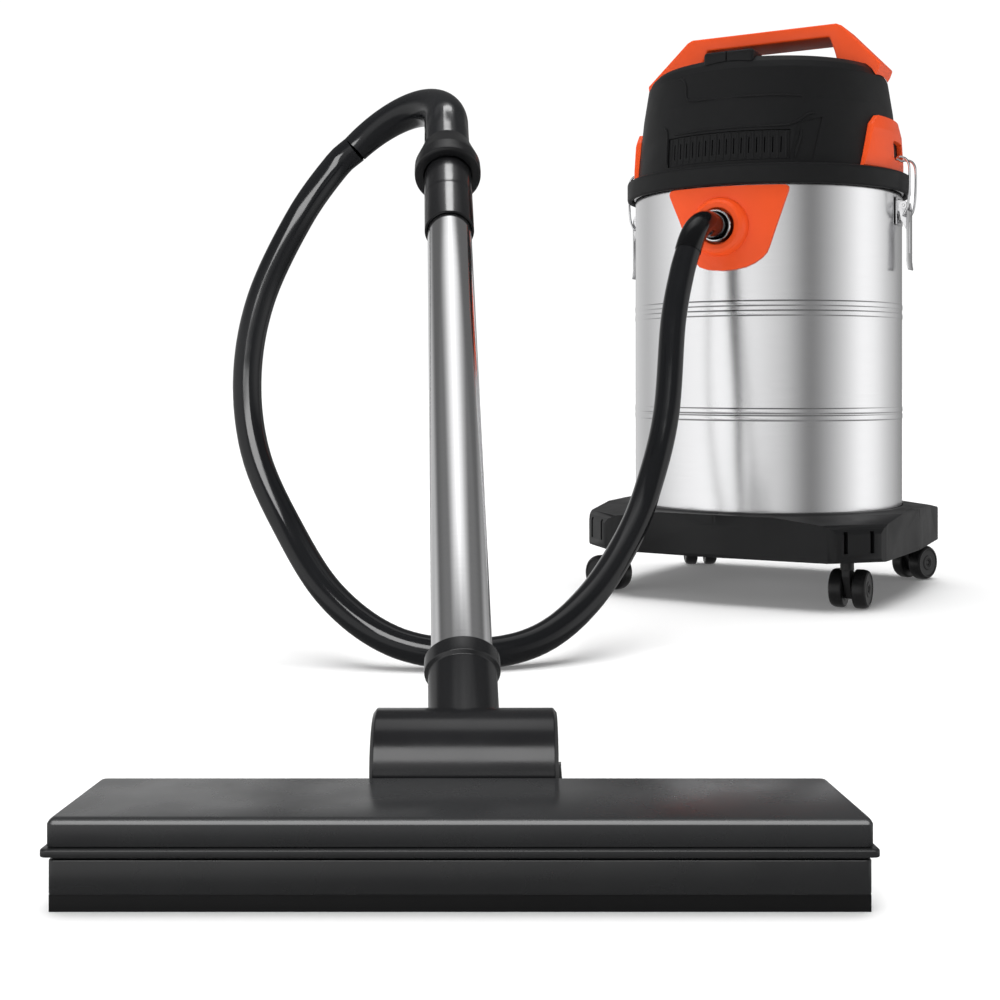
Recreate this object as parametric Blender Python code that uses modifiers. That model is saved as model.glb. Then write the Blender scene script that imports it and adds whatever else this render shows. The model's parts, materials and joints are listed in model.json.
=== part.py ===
"""A wet-and-dry shop vacuum: steel drum on a dolly, lift-off motor head, hose, wand and floor nozzle.

Metres, +Z up. The origin is the middle of the footprint on the floor, the nozzle's front faces -Y, and the
canister stands behind it with its hose inlet turned towards the nozzle.
"""

from math import acos, cos, pi, radians, sin, tau

import bmesh
import bpy
from mathutils import Vector

# Places on the floor
CANISTER_AT = (0.1588, 0.4353)
CANISTER_TURN = radians(-29)
NOZZLE_AT = (-0.1872, -0.6562)
HINGE_BACK = 0.1035
HINGE_HEIGHT = 0.045

# Fits
GAP = 0.0004
ROUND_STEPS = 32
SMALL_STEPS = 16

# Drum and dolly
DRUM_R = 0.160
DRUM_WALL = 0.0012
DRUM_BOTTOM = 0.0780
DRUM_TOP = 0.4780
DRUM_BEADS = (0.3325, 0.2130)
BEAD_HEIGHT = 0.0012
RIM_R = 0.1630
DOLLY_BOTTOM = 0.0535
DOLLY_TOP = 0.1030
DOLLY_R = 0.1850
DOLLY_FLOOR = (0.0700, 0.0775)
POCKET_R = 0.1612
LOBE_HALF = 0.035
LOBE_REACH = 0.221
LOBE_SKIRT = (0.1349, 0.1266)

# Casters
CASTER_R = 0.195
TRAIL = 0.015
WHEEL_R = 0.0215
WHEEL_WIDTH = 0.0160
WHEEL_INNER = 0.0048
WEB = 0.0086
CASTER_TURNS = {"front_left": 292, "front_right": 136, "rear_left": 344, "rear_right": 22}
AXLE_R = 0.0030
STEM_R = 0.0045
STEM_TOP = 0.0795

# Hose inlet
INLET_HEIGHT = 0.4245
COVER_R = (0.1608, 0.1648)
SOCKET_R = (0.0148, 0.0170)
SOCKET_ENDS = (0.146, 0.1765)
CUFF_R = (0.0112, 0.0142)
CUFF_STRAIGHT = 0.202
CUFF_BEND_R = 0.055
CUFF_END_WAY = Vector((-0.0732, -0.3836, -0.92))
HOSE_R = 0.0135
HOSE_GAP = 0.0009

# Latches, in a frame whose +X points out through the latch
LATCH_PIVOT = (0.1690, 0.4550)
BAIL_PIVOT = (0.1700, 0.4430)
BAIL_WIRE_R = 0.0014
BAIL_HALF = 0.0155
PIN_R = 0.0012

# Motor head
FLANGE_R = 0.1700
FLANGE = (0.4710, 0.4940)
DECK = (0.4850, 0.4900)
COVER_BOTTOM = 0.4944
COVER_PROFILE = [
    (0.0850, 0.6120),
    (0.0950, 0.6245),
    (0.1100, 0.6245),
    (0.1320, 0.6205),
    (0.1390, 0.6140),
    (0.1435, 0.6060),
    (0.1495, 0.5690),
    (0.1575, COVER_BOTTOM),
]
COVER_WALL = 0.0030
VENT_HALF = 0.073
VENT = (0.4990, 0.5330)
HANDLE_WIDTH = 0.058
HANDLE_TOP = 0.6720
HANDLE_UNDER = 0.6565
ROCKER_AT = (0, -0.1195, 0.6240)

# Wand, measured along its own axis from the middle of the hinge barrel
WAND_RISE = radians(39.66)
WAND_LEAN = radians(3.23)
WAND_R = (0.0162, 0.0180)
NECK_TOP = 0.0700
WAND_ENDS = (0.0505, 0.5560)
SOCKET_START = 0.5150
SLEEVE_R = 0.0203
COLLAR_ENDS = (0.6000, 0.6420)
HANDLE_START = 0.6446
HANDLE_BEND_AT = 0.690
HANDLE_BEND_R = 0.075
HANDLE_R = 0.0200
HANDLE_WALL = 0.0030
HANDLE_END_WAY = Vector((-0.70, -0.05, -0.71))

# Nozzle, measured from the middle of its front face on the floor
BARREL_R = 0.0287
BARREL_HALF = 0.050
NOZZLE_HALF = (0.1965, 0.1900)
NOZZLE_DEPTH = 0.0735
COVER_BAND = (0.0318, 0.0447)
BUMPER_BAND = (0.0256, 0.0315)
BASE_BAND = (0.0088, 0.0253)
SADDLE_R = (0.0292, 0.0330)
SADDLE_ARC = (radians(222), radians(345))

# The hose from its handle to the inlet cuff, resting on the floor behind the wand
HOSE_ROUTE = [
    (-0.3612, 0.0525, 0.4077),
    (-0.3967, 0.0460, 0.3304),
    (-0.4086, 0.0371, 0.2561),
    (-0.3983, 0.0219, 0.1835),
    (-0.3644, -0.0052, 0.1174),
    (-0.3187, -0.0484, 0.0598),
    (-0.2615, -0.0754, 0.0240),
    (-0.1958, -0.0808, 0.0139),
    (-0.1355, -0.0609, 0.0218),
    (-0.0877, -0.0195, 0.0517),
    (-0.0447, 0.0570, 0.0990),
    (-0.0186, 0.1086, 0.1483),
    (0.0021, 0.1439, 0.2169),
    (0.0139, 0.1831, 0.3117),
]

BLACK = ((0.020, 0.020, 0.021), 0.45, 0.0)
ORANGE = ((0.80, 0.10, 0.02), 0.40, 0.0)
STEEL = ((0.72, 0.72, 0.73), 0.28, 1.0)
CHROME = ((0.80, 0.80, 0.81), 0.15, 1.0)
RUBBER = ((0.012, 0.012, 0.012), 0.75, 0.0)
GLOSS = ((0.012, 0.012, 0.013), 0.20, 0.0)
PAPER = ((0.75, 0.72, 0.64), 0.90, 0.0)
COPPER = ((0.60, 0.30, 0.15), 0.40, 1.0)
GREY = ((0.30, 0.30, 0.31), 0.50, 0.0)


def clear_scene():
    for obj in list(bpy.data.objects):
        bpy.data.objects.remove(obj)


def new_collection(name):
    made = bpy.data.collections.new(name)
    bpy.context.scene.collection.children.link(made)
    return made


def finish_of(name, look):
    colour, roughness, metallic = look
    made = bpy.data.materials.new(name)
    made.use_nodes = True
    shader = made.node_tree.nodes["Principled BSDF"]
    shader.inputs["Base Color"].default_value = (*colour, 1)
    shader.inputs["Roughness"].default_value = roughness
    shader.inputs["Metallic"].default_value = metallic
    return made


def empty(name, at=(0, 0, 0), turn=(0, 0, 0), parent=None):
    made = bpy.data.objects.new(name, None)
    parts.objects.link(made)
    made.location, made.rotation_euler, made.parent = at, turn, parent
    return made


def place(name, data, look, parent, at=(0, 0, 0), turn=(0, 0, 0)):
    """A visible piece with its own material, or a hidden cutter when look is None."""
    made = bpy.data.objects.new(name, data)
    made.location, made.rotation_euler, made.parent = at, turn, parent
    if look is None:
        cutters.objects.link(made)
        made.hide_render = True
        made.display_type = "WIRE"
    else:
        parts.objects.link(made)
        data.materials.append(finish_of(name, look))
    return made


def mesh_from(build):
    made = bpy.data.meshes.new("shape")
    shape = bmesh.new()
    build(shape)
    bmesh.ops.recalc_face_normals(shape, faces=shape.faces)
    shape.to_mesh(made)
    shape.free()
    return made


def turned(name, profile, look, parent, steps=ROUND_STEPS, at=(0, 0, 0), turn=(0, 0, 0)):
    """A profile of (radius, height) swept about Z: a closed loop, or a line from the axis back to it."""
    around = zip(profile, profile[1:] + profile[:1])
    if sum((b[0] - a[0]) * (b[1] + a[1]) for a, b in around) < 0:
        profile = profile[::-1]
    solid = profile[0][0] == 0 and profile[-1][0] == 0
    count = len(profile)
    edges = [(i, (i + 1) % count) for i in range(count - solid)]
    mesh = bpy.data.meshes.new(name)
    mesh.from_pydata([(r, 0, z) for r, z in profile], edges, [])
    made = place(name, mesh, look, parent, at, turn)
    screw = made.modifiers.new("turn", "SCREW")
    screw.steps = screw.render_steps = steps
    screw.use_merge_vertices = True
    screw.merge_threshold = 0.00001
    return made


def rod(name, radius, start, end, look, parent, steps=SMALL_STEPS, turn=(0, 0, 0), at=(0, 0, 0)):
    """A cylinder along its own Z from start to end."""
    profile = [(0, end), (radius, end), (radius, start), (0, start)]
    return turned(name, profile, look, parent, steps, at, turn)


def block(name, low, high, look, parent, at=(0, 0, 0), turn=(0, 0, 0)):
    size = Vector(high) - Vector(low)
    middle = (Vector(high) + Vector(low)) / 2

    def build(shape):
        bmesh.ops.create_cube(shape, size=1)
        bmesh.ops.scale(shape, vec=size, verts=shape.verts)
        bmesh.ops.translate(shape, vec=middle, verts=shape.verts)

    return place(name, mesh_from(build), look, parent, at, turn)


def wedge_box(name, low, high, halves, top_halves, look, parent, lean=0):
    """A box along Y from low to high whose half-widths differ from front to back and from bottom to top."""
    made = block(name, (-1, low[0], low[1]), (1, high[0], high[1]), look, parent)
    for corner in made.data.vertices:
        back, upper = corner.co.y > (low[0] + high[0]) / 2, corner.co.z > (low[1] + high[1]) / 2
        corner.co.x *= (top_halves if upper else halves)[back]
        corner.co.y += lean * upper * (-1 if back else 1)
    return made


def slab(name, outline, thickness, look, parent, at=(0, 0, 0), turn=(pi / 2, 0, 0)):
    """A flat outline, upright in XZ unless turned, with its thickness centred on the plane."""
    curve = bpy.data.curves.new(name, "CURVE")
    curve.dimensions = "2D"
    curve.fill_mode = "BOTH"
    curve.extrude = thickness / 2
    line = curve.splines.new("POLY")
    line.points.add(len(outline) - 1)
    line.use_cyclic_u = True
    for point, (x, y) in zip(line.points, outline):
        point.co = (x, y, 0, 1)
    return place(name, welded_mesh(curve), look, parent, at, turn)


def pipe_line(name, points, radii, look, parent, resolution=3):
    """A round bar through the points, as one curve with filled caps."""
    curve = bpy.data.curves.new(name, "CURVE")
    curve.dimensions = "3D"
    curve.bevel_depth = 1
    curve.bevel_resolution = resolution
    curve.use_fill_caps = True
    line = curve.splines.new("POLY")
    line.points.add(len(points) - 1)
    for point, place_at, radius in zip(line.points, points, radii):
        point.co = (*place_at, 1)
        point.radius = radius
    return place(name, welded_mesh(curve), look, parent)


def welded_mesh(curve):
    """The closed mesh of a curve, so that it can be cut and joined."""
    holder = bpy.data.objects.new("holder", curve)
    bpy.context.scene.collection.objects.link(holder)
    bpy.context.view_layer.update()
    mesh = bpy.data.meshes.new_from_object(holder.evaluated_get(bpy.context.evaluated_depsgraph_get()))
    bpy.data.objects.remove(holder)
    shape = bmesh.new()
    shape.from_mesh(mesh)
    bmesh.ops.remove_doubles(shape, verts=shape.verts, dist=0.00001)
    bmesh.ops.recalc_face_normals(shape, faces=shape.faces)
    shape.to_mesh(mesh)
    shape.free()
    mesh.materials.clear()
    return mesh


def boolean(piece, other, operation):
    change = piece.modifiers.new(other.name, "BOOLEAN")
    change.operation = operation
    change.object = other
    change.solver = "EXACT"


def cut(piece, *others):
    for other in others:
        boolean(piece, other, "DIFFERENCE")


def join(piece, *others):
    for other in others:
        boolean(piece, other, "UNION")


def hollow_pipe(name, points, outer, inner, look, parent, resolution=3):
    made = pipe_line(name, points, outer, look, parent, resolution)
    longer = [Vector(p) for p in points]
    longer[0] += (longer[0] - longer[1]).normalized() * 0.002
    longer[-1] += (longer[-1] - longer[-2]).normalized() * 0.002
    cut(made, pipe_line(name + "_bore", longer, inner, None, parent, resolution))
    return made


def arc(centre, radius, start, end, steps):
    turns = [start + (end - start) * i / steps for i in range(steps + 1)]
    return [(centre[0] + radius * cos(t), centre[1] + radius * sin(t)) for t in turns]


def bend(start, way, end_way, radius, steps):
    """Points of a plane bend that leaves start along way and ends along end_way."""
    way, end_way = way.normalized(), end_way.normalized()
    inward = (end_way - end_way.dot(way) * way).normalized()
    angle = acos(end_way.dot(way))
    turns = [angle * i / steps for i in range(steps + 1)]
    return [start + radius * (sin(t) * way + (1 - cos(t)) * inward) for t in turns]


def smooth_line(route, spacing):
    """Points at even spacing on the Catmull-Rom curve through the route."""
    route = [Vector(p) for p in route]
    ends = [2 * route[0] - route[1]] + route + [2 * route[-1] - route[-2]]
    fine = []
    for a, b, c, d in zip(ends, ends[1:], ends[2:], ends[3:]):
        for i in range(24):
            t = i / 24
            swing = (2 * a - 5 * b + 4 * c - d) * t**2 + (3 * b - a - 3 * c + d) * t**3
            fine.append(0.5 * (2 * b + (c - a) * t + swing))
    fine.append(route[-1])
    length = sum((q - p).length for p, q in zip(fine, fine[1:]))
    step = length / round(length / spacing)
    points, gone = [fine[0]], 0
    for p, q in zip(fine, fine[1:]):
        gone += (q - p).length
        if gone >= step - 1e-6:
            points.append(q)
            gone -= step
    points[-1] = fine[-1]
    return points


def world_of(parent, point):
    bpy.context.view_layer.update()
    return parent.matrix_world @ Vector(point)


# ---------------------------------------------------------------- canister


def bead(height):
    return [(DRUM_R, height + 0.009), (DRUM_R + BEAD_HEIGHT, height), (DRUM_R, height - 0.009)]


def make_drum():
    inner = DRUM_R - DRUM_WALL
    outside = [(RIM_R, DRUM_TOP), (RIM_R, DRUM_TOP - 0.005), (DRUM_R, DRUM_TOP - 0.006)]
    for height in DRUM_BEADS:
        outside += bead(height)
    outside += [(DRUM_R, DRUM_BOTTOM + 0.004), (DRUM_R - 0.004, DRUM_BOTTOM), (0, DRUM_BOTTOM)]
    inside = [(0, DRUM_BOTTOM + DRUM_WALL), (inner, DRUM_BOTTOM + 0.006), (inner, DRUM_TOP)]
    drum = turned("drum_shell", inside + outside, STEEL, canister)
    hole_r = SOCKET_R[1] + GAP
    cut(drum, rod("inlet_hole", hole_r, 0.14, 0.18, None, canister, 24, (pi / 2, 0, 0), (0, 0, INLET_HEIGHT)))


def lobe_outline():
    """Side view of a caster lobe: its top falls gently from the rim to a rounded outer edge."""
    return [
        (0.120, DOLLY_BOTTOM + 0.0003),
        (LOBE_REACH - 0.003, DOLLY_BOTTOM + 0.0003),
        (LOBE_REACH, DOLLY_BOTTOM + 0.004),
        (LOBE_REACH, 0.0850),
        (LOBE_REACH - 0.0025, 0.0905),
        (LOBE_REACH - 0.0085, 0.0945),
        (0.1760, 0.1012),
        (0.120, 0.1015),
    ]


def lobe_plan():
    """Half the lobe seen from above, then its mirror: straight skirts run from the rim to rounded corners."""
    reach, side = LOBE_REACH + 0.001, LOBE_HALF
    corner = [(reach - 0.0135, side + 0.0095), (reach - 0.0060, side + 0.0010), (reach, side - 0.0100)]
    half = [LOBE_SKIRT] + corner
    return [(0.08, 0.0)] + half + [(x, -y) for x, y in reversed(half)]


def make_dolly():
    ring = [
        (0.1590, DOLLY_TOP),
        (0.1680, DOLLY_TOP),
        (0.1765, DOLLY_TOP - 0.0025),
        (DOLLY_R - 0.0020, DOLLY_TOP - 0.0080),
        (DOLLY_R, DOLLY_TOP - 0.0130),
        (DOLLY_R, 0.0570),
        (DOLLY_R - 0.0020, DOLLY_BOTTOM),
        (0.1770, DOLLY_BOTTOM),
        (0.1750, DOLLY_FLOOR[0]),
        (0.0600, DOLLY_FLOOR[0]),
        (0.0600, 0.0800),
        (0.1590, 0.0800),
    ]
    dolly = turned("dolly", ring, BLACK, canister)
    for name, corner in casters.items():
        lobe = slab(name + "_lobe", lobe_outline(), 0.30, None, corner["radial"])
        plan = slab(name + "_plan", lobe_plan(), 0.20, None, corner["radial"], (0, 0, 0.1), (0, 0, 0))
        boolean(lobe, plan, "INTERSECT")
        join(dolly, lobe)
    pocket = [(0, 0.2), (POCKET_R, 0.2), (POCKET_R, DOLLY_FLOOR[1]), (0, DOLLY_FLOOR[1])]
    under = [(0, 0.04), (0.1750, 0.04), (0.1750, 0.0699), (0, 0.0699)]
    cut(dolly, turned("drum_pocket", pocket, None, canister), turned("under_pocket", under, None, canister))
    for name, corner in casters.items():
        for side in (-1, 1):
            low = (0.209, side * 0.016 - 0.0024, 0.0640)
            high = (0.230, side * 0.016 + 0.0024, 0.0880)
            cut(dolly, block(f"{name}_slot_{side}", low, high, None, corner["radial"]))
        join(dolly, rod(name + "_boss", 0.011, 0.0540, 0.0745, None, corner["swivel"], 16))
        hole = (STEM_R + 0.0007, 0.050, STEM_TOP + 0.0006)
        cut(dolly, rod(name + "_stem_hole", *hole, None, corner["swivel"], 16))


def make_caster(name, swivel):
    """A twin-wheel caster. Its axle trails outward along the swivel frame's +X."""
    stem = [
        (0, STEM_TOP),
        (STEM_R, STEM_TOP),
        (STEM_R, 0.0529),
        (0.0075, 0.0526),
        (0.0075, 0.0432),
        (0, 0.0432),
    ]
    body = turned(name + "_fork", stem, BLACK, swivel, 16)
    web = [(-0.007, 0.0480), (0.007, 0.0480), (TRAIL + 0.012, WHEEL_R + 0.006)]
    web += [(TRAIL + 0.012, WHEEL_R - 0.006), (TRAIL + 0.005, WHEEL_R - 0.012)]
    web += [(TRAIL - 0.007, WHEEL_R - 0.011), (-0.007, 0.0360)]
    join(body, slab(name + "_web", web, WEB, None, swivel))
    outside = WHEEL_INNER + WHEEL_WIDTH - 0.0015
    at = (TRAIL, 0, WHEEL_R)
    join(body, rod(name + "_axle", AXLE_R, -outside, outside, None, swivel, 12, (pi / 2, 0, 0), at))
    profile = [
        (AXLE_R + 0.0005, WHEEL_INNER),
        (WHEEL_R - 0.0015, WHEEL_INNER),
        (WHEEL_R, WHEEL_INNER + 0.002),
        (WHEEL_R, WHEEL_INNER + WHEEL_WIDTH - 0.0025),
        (WHEEL_R - 0.002, WHEEL_INNER + WHEEL_WIDTH),
        (AXLE_R + 0.0005, WHEEL_INNER + WHEEL_WIDTH),
    ]
    turned(name + "_wheel_left", profile, BLACK, swivel, SMALL_STEPS, at, (-pi / 2, 0, 0))
    turned(name + "_wheel_right", profile, BLACK, swivel, SMALL_STEPS, at, (pi / 2, 0, 0))


def along_inlet(name, profile, look, steps=24):
    """A piece turned about the inlet's own axis, whose heights run outward from the canister's middle."""
    return turned(name, profile, look, canister, steps, (0, 0, INLET_HEIGHT), (pi / 2, 0, 0))


def make_inlet():
    shell = [(COVER_R[0], 0.4705), (COVER_R[1], 0.4700), (COVER_R[1], 0.360), (COVER_R[0], 0.360)]
    cover = turned("inlet_cover", shell, ORANGE, canister)
    shield = [(-0.0690, 0.4700), (-0.0516, 0.4341), (-0.0345, 0.3930), (-0.0247, 0.3797), (-0.0140, 0.3762)]
    shield += [(0.0033, 0.3748), (0.0170, 0.3758), (0.0297, 0.3784), (0.0390, 0.3825), (0.0472, 0.3884)]
    shield += [(0.0520, 0.3940), (0.0545, 0.4000), (0.0742, 0.4633), (0.0745, 0.4675), (0.0725, 0.4695)]
    boolean(cover, slab("shield", shield, 0.1, None, canister, (0, -0.15, 0)), "INTERSECT")
    boss = [(0.0340, 0.1590), (0.0320, 0.1690), (0.0265, 0.1755), (0.0205, 0.1755), (0.0190, 0.1590)]
    join(cover, along_inlet("inlet_boss", boss, None))
    cut(cover, rod("drum_clearance", COVER_R[0] - 0.0001, 0.30, 0.50, None, canister, ROUND_STEPS))
    cut(cover, along_inlet("inlet_bore", [(0, 0.2), (0.0176, 0.2), (0.0176, 0.13), (0, 0.13)], None))
    (bore, tube), (low, high) = SOCKET_R, SOCKET_ENDS
    socket = [(bore, low), (0.0240, low), (0.0240, 0.1490), (tube, 0.1515), (tube, high), (bore, high)]
    along_inlet("inlet_socket", socket, BLACK)
    ring = [(0.0152, 0.1772), (0.0152, 0.1792), (0.0162, 0.1804)]
    ring += [(0.0176, 0.1804), (0.0184, 0.1792), (0.0184, 0.1772)]
    along_inlet("inlet_lock_ring", ring, CHROME)
    make_deflector()
    make_cuff()


def make_deflector():
    """A short elbow behind the socket that throws the air and debris down into the drum."""
    start = Vector((0, -SOCKET_ENDS[0] + GAP, INLET_HEIGHT))
    points = [start] + bend(start + Vector((0, 0.004, 0)), Vector((0, 1, 0)), Vector((0, 0.5, -1)), 0.026, 4)
    hollow_pipe("inlet_deflector", points, [0.0205] * len(points), [0.0175] * len(points), GREY, canister, 2)


def cuff_points():
    """The cuff's middle line in the canister's frame: straight out of the socket, then a bend down."""
    start = Vector((0, -0.152, INLET_HEIGHT))
    corner = Vector((0, -CUFF_STRAIGHT, INLET_HEIGHT))
    return [start] + bend(corner, Vector((0, -1, 0)), CUFF_END_WAY, CUFF_BEND_R, 8)


def make_cuff():
    points = cuff_points()
    hollow_pipe("inlet_cuff", points, [CUFF_R[1]] * len(points), [CUFF_R[0]] * len(points), GLOSS, canister)


def make_latch(side, frame):
    """A toggle latch: bracket on the drum, lever on the bracket's pin, and a wire bail hooked on the head."""
    x, z = LATCH_PIVOT
    foot = (0.1606, -0.0145, 0.4330), (0.1618, 0.0145, 0.4660)
    bracket = block(f"latch_bracket_{side}", *foot, STEEL, frame)
    lever_plate = (x + 0.0032, -0.0119, z - 0.0750), (x + 0.0045, 0.0119, z - 0.0060)
    lever = block(f"latch_lever_{side}", *lever_plate, CHROME, frame)
    cheek = [(-0.0045, 0.0042), (0.0030, 0.0052), (0.0044, -0.0050), (0.0044, -0.0220), (-0.0030, -0.0170)]
    cheek += [(-0.0058, -0.0010)]
    outline = [(x + dx, z + dz) for dx, dz in cheek]
    hole = rod(f"latch_hole_{side}", PIN_R + 0.0005, -0.02, 0.02, None, frame, 12, (pi / 2, 0, 0), (x, 0, z))
    for sign in (-1, 1):
        near, far = sorted((sign * 0.0086, sign * 0.0100))
        ear = (0.1612, near, z - 0.0055), (x + 0.0028, far, z + 0.0055)
        join(bracket, block(f"latch_ear_{side}_{sign}", *ear, None, frame))
        join(lever, slab(f"latch_cheek_{side}_{sign}", outline, 0.0013, None, frame, (0, sign * 0.0112, 0)))
    cut(bracket, hole)
    cut(lever, hole)
    rod(f"latch_pin_{side}", PIN_R, -0.0130, 0.0130, STEEL, frame, 12, (pi / 2, 0, 0), (x, 0, z))
    bx, bz = BAIL_PIVOT
    arm = [(bx, bz), (0.1745, bz + 0.010), (0.1765, 0.4700), (0.1768, 0.4950), (0.1750, 0.5045)]
    arm += [(0.1705, 0.5095), (0.1640, 0.5108), (0.1595, 0.5100)]
    y = BAIL_HALF
    points = [(bx, 0.0126, bz), (bx, y - 0.001, bz)] + [(ax, y, az) for ax, az in arm[:-1]]
    points += [(0.1600, y - 0.0015, 0.5100)]
    points += [(px, -py, pz) for px, py, pz in reversed(points)]
    pipe_line(f"latch_bail_{side}", points, [BAIL_WIRE_R] * len(points), CHROME, frame, 1)


# ---------------------------------------------------------------- motor head


def cover_outside(grow):
    """The head cover's outer profile from its dished middle down, moved outward by grow."""
    dish = [(r - grow, z + grow) for r, z in COVER_PROFILE[:2]]
    return [(0, dish[0][1])] + dish + [(r + grow, z + grow) for r, z in COVER_PROFILE[2:]]


def make_head_base():
    low, top = FLANGE
    profile = [
        (0.1560, top),
        (FLANGE_R - 0.002, top),
        (FLANGE_R, top - 0.002),
        (FLANGE_R, low + 0.0015),
        (FLANGE_R - 0.001, low),
        (0.1645, low),
        (0.1642, 0.4816),
        (0.1550, 0.4816),
        (0.1530, 0.4700),
        (0.1490, 0.4700),
        (0.1480, DECK[0]),
        (0.0300, DECK[0]),
        (0.0300, DECK[1]),
        (0.1500, DECK[1]),
    ]
    turned("head_base", profile, BLACK, head)
    gasket = [(0.1580, 0.4812), (0.1636, 0.4812), (0.1636, 0.4784), (0.1580, 0.4784)]
    turned("drum_gasket", gasket, RUBBER, head)


def make_head_cover():
    outside = cover_outside(0)
    inside = [(r - COVER_WALL, z - (COVER_WALL if i < 4 else 0)) for i, (r, z) in enumerate(COVER_PROFILE)]
    inside = [(0, COVER_PROFILE[0][1] - COVER_WALL)] + inside
    cover = turned("head_cover", outside + inside[::-1], BLACK, head)
    window = block("vent_window", (-VENT_HALF, -0.18, VENT[0]), (VENT_HALF, -0.12, VENT[1]), None, head)
    gland_hole = rod("gland_hole", 0.0072, 0.13, 0.18, None, head, 16, (-pi / 2, 0, 0), (0, 0, 0.530))
    switch_hole = block("switch_hole", (-0.0115, -0.1295, 0.600), (0.0115, -0.1095, 0.640), None, head)
    cut(cover, window, gland_hole, switch_hole)
    low, top = VENT[0] + 0.0006, VENT[1] - 0.0006
    grille = turned("vent_grille", [(0.1515, top), (0.1535, low), (0.1495, low), (0.1475, top)], BLACK, head)
    half = VENT_HALF - 0.0006
    boolean(grille, block("vent_panel", (-half, -0.18, 0.48), (half, -0.12, 0.55), None, head), "INTERSECT")
    for i in range(9):
        x = (i - 4) * 0.0145
        start, end = (x - 0.0022, -0.18, VENT[0] + 0.006), (x + 0.0022, -0.12, VENT[1] - 0.006)
        cut(grille, block(f"vent_slot_{i}", start, end, None, head))


def cover_envelope():
    """A cutter that leaves running clearance over the head cover."""
    return turned("cover_envelope", cover_outside(GAP) + [(0.1575 + GAP, 0.48), (0, 0.48)], None, head)


def make_catch(side, frame, envelope):
    """The ribbed side insert whose ledge the latch bail pulls down on."""
    ring = [(0.1480, 0.4948), (0.1616, 0.4948), (0.1616, 0.5075)]
    ring += [(0.1596, 0.5400), (0.1552, 0.5580), (0.1480, 0.5580)]
    catch = turned(f"catch_{side}", ring, ORANGE, frame)
    arch = [(-0.0850, 0.48), (-0.0600, 0.5450), (-0.0480, 0.5560)]
    arch += [(-y, z) for y, z in reversed(arch)]
    outline = slab(f"catch_arch_{side}", arch, 0.1, None, frame, (0.15, 0, 0), (pi / 2, 0, pi / 2))
    boolean(catch, outline, "INTERSECT")
    pocket = block(f"catch_pocket_{side}", (0.14, -0.0195, 0.5075), (0.18, 0.0195, 0.5300), None, frame)
    cut(catch, envelope, pocket)


def make_carry_handle(envelope):
    outline = [
        (0.1390, 0.6040),
        (0.1440, 0.6120),
        (0.1470, 0.6200),
        (0.1005, 0.6690),
        (0.0940, HANDLE_TOP),
        (-0.0860, HANDLE_TOP),
        (-0.0925, 0.6690),
        (-0.1450, 0.6200),
        (-0.1440, 0.6120),
        (-0.1390, 0.6040),
        (-0.1000, 0.6040),
        (-0.0800, 0.6300),
        (-0.0700, 0.6460),
        (-0.0660, HANDLE_UNDER),
        (0.0860, HANDLE_UNDER),
        (0.0920, 0.6400),
        (0.1020, 0.6040),
    ]
    handle = slab("carry_handle", outline, HANDLE_WIDTH, ORANGE, head)
    edges = handle.modifiers.new("edges", "BEVEL")
    edges.width = 0.003
    edges.segments = 1
    edges.limit_method = "ANGLE"
    edges.angle_limit = radians(60)
    cut(handle, envelope)


def make_switch(envelope):
    pod = block("switch_pod", (-0.030, -0.1370, 0.600), (0.030, -0.1020, 0.6290), BLACK, head)
    edges = pod.modifiers.new("edges", "BEVEL")
    edges.width = 0.004
    edges.segments = 2
    seat = rod("rocker_seat", 0.0084, -0.0100, 0.0100, None, head, 16, (0, pi / 2, 0), ROCKER_AT)
    cut(pod, envelope, seat)
    rocker = [(-0.0068, 0.0018), (0, 0.0042), (0.0068, 0.0042), (0.0068, -0.0030), (0.0030, -0.0068)]
    rocker += [(-0.0030, -0.0068), (-0.0068, -0.0030)]
    slab("rocker_switch", rocker, 0.0190, BLACK, head, ROCKER_AT, (pi / 2, 0, pi / 2))


def make_gland():
    """Strain relief for the mains lead, on the back of the head."""
    profile = [(0, 0.1400), (0.0068, 0.1400), (0.0068, 0.1560), (0.0100, 0.1575), (0.0100, 0.1610)]
    profile += [(0.0070, 0.1630), (0.0052, 0.1850), (0, 0.1850)]
    turned("cord_gland", profile, RUBBER, head, 16, (0, 0, 0.530), (-pi / 2, 0, 0))


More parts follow.
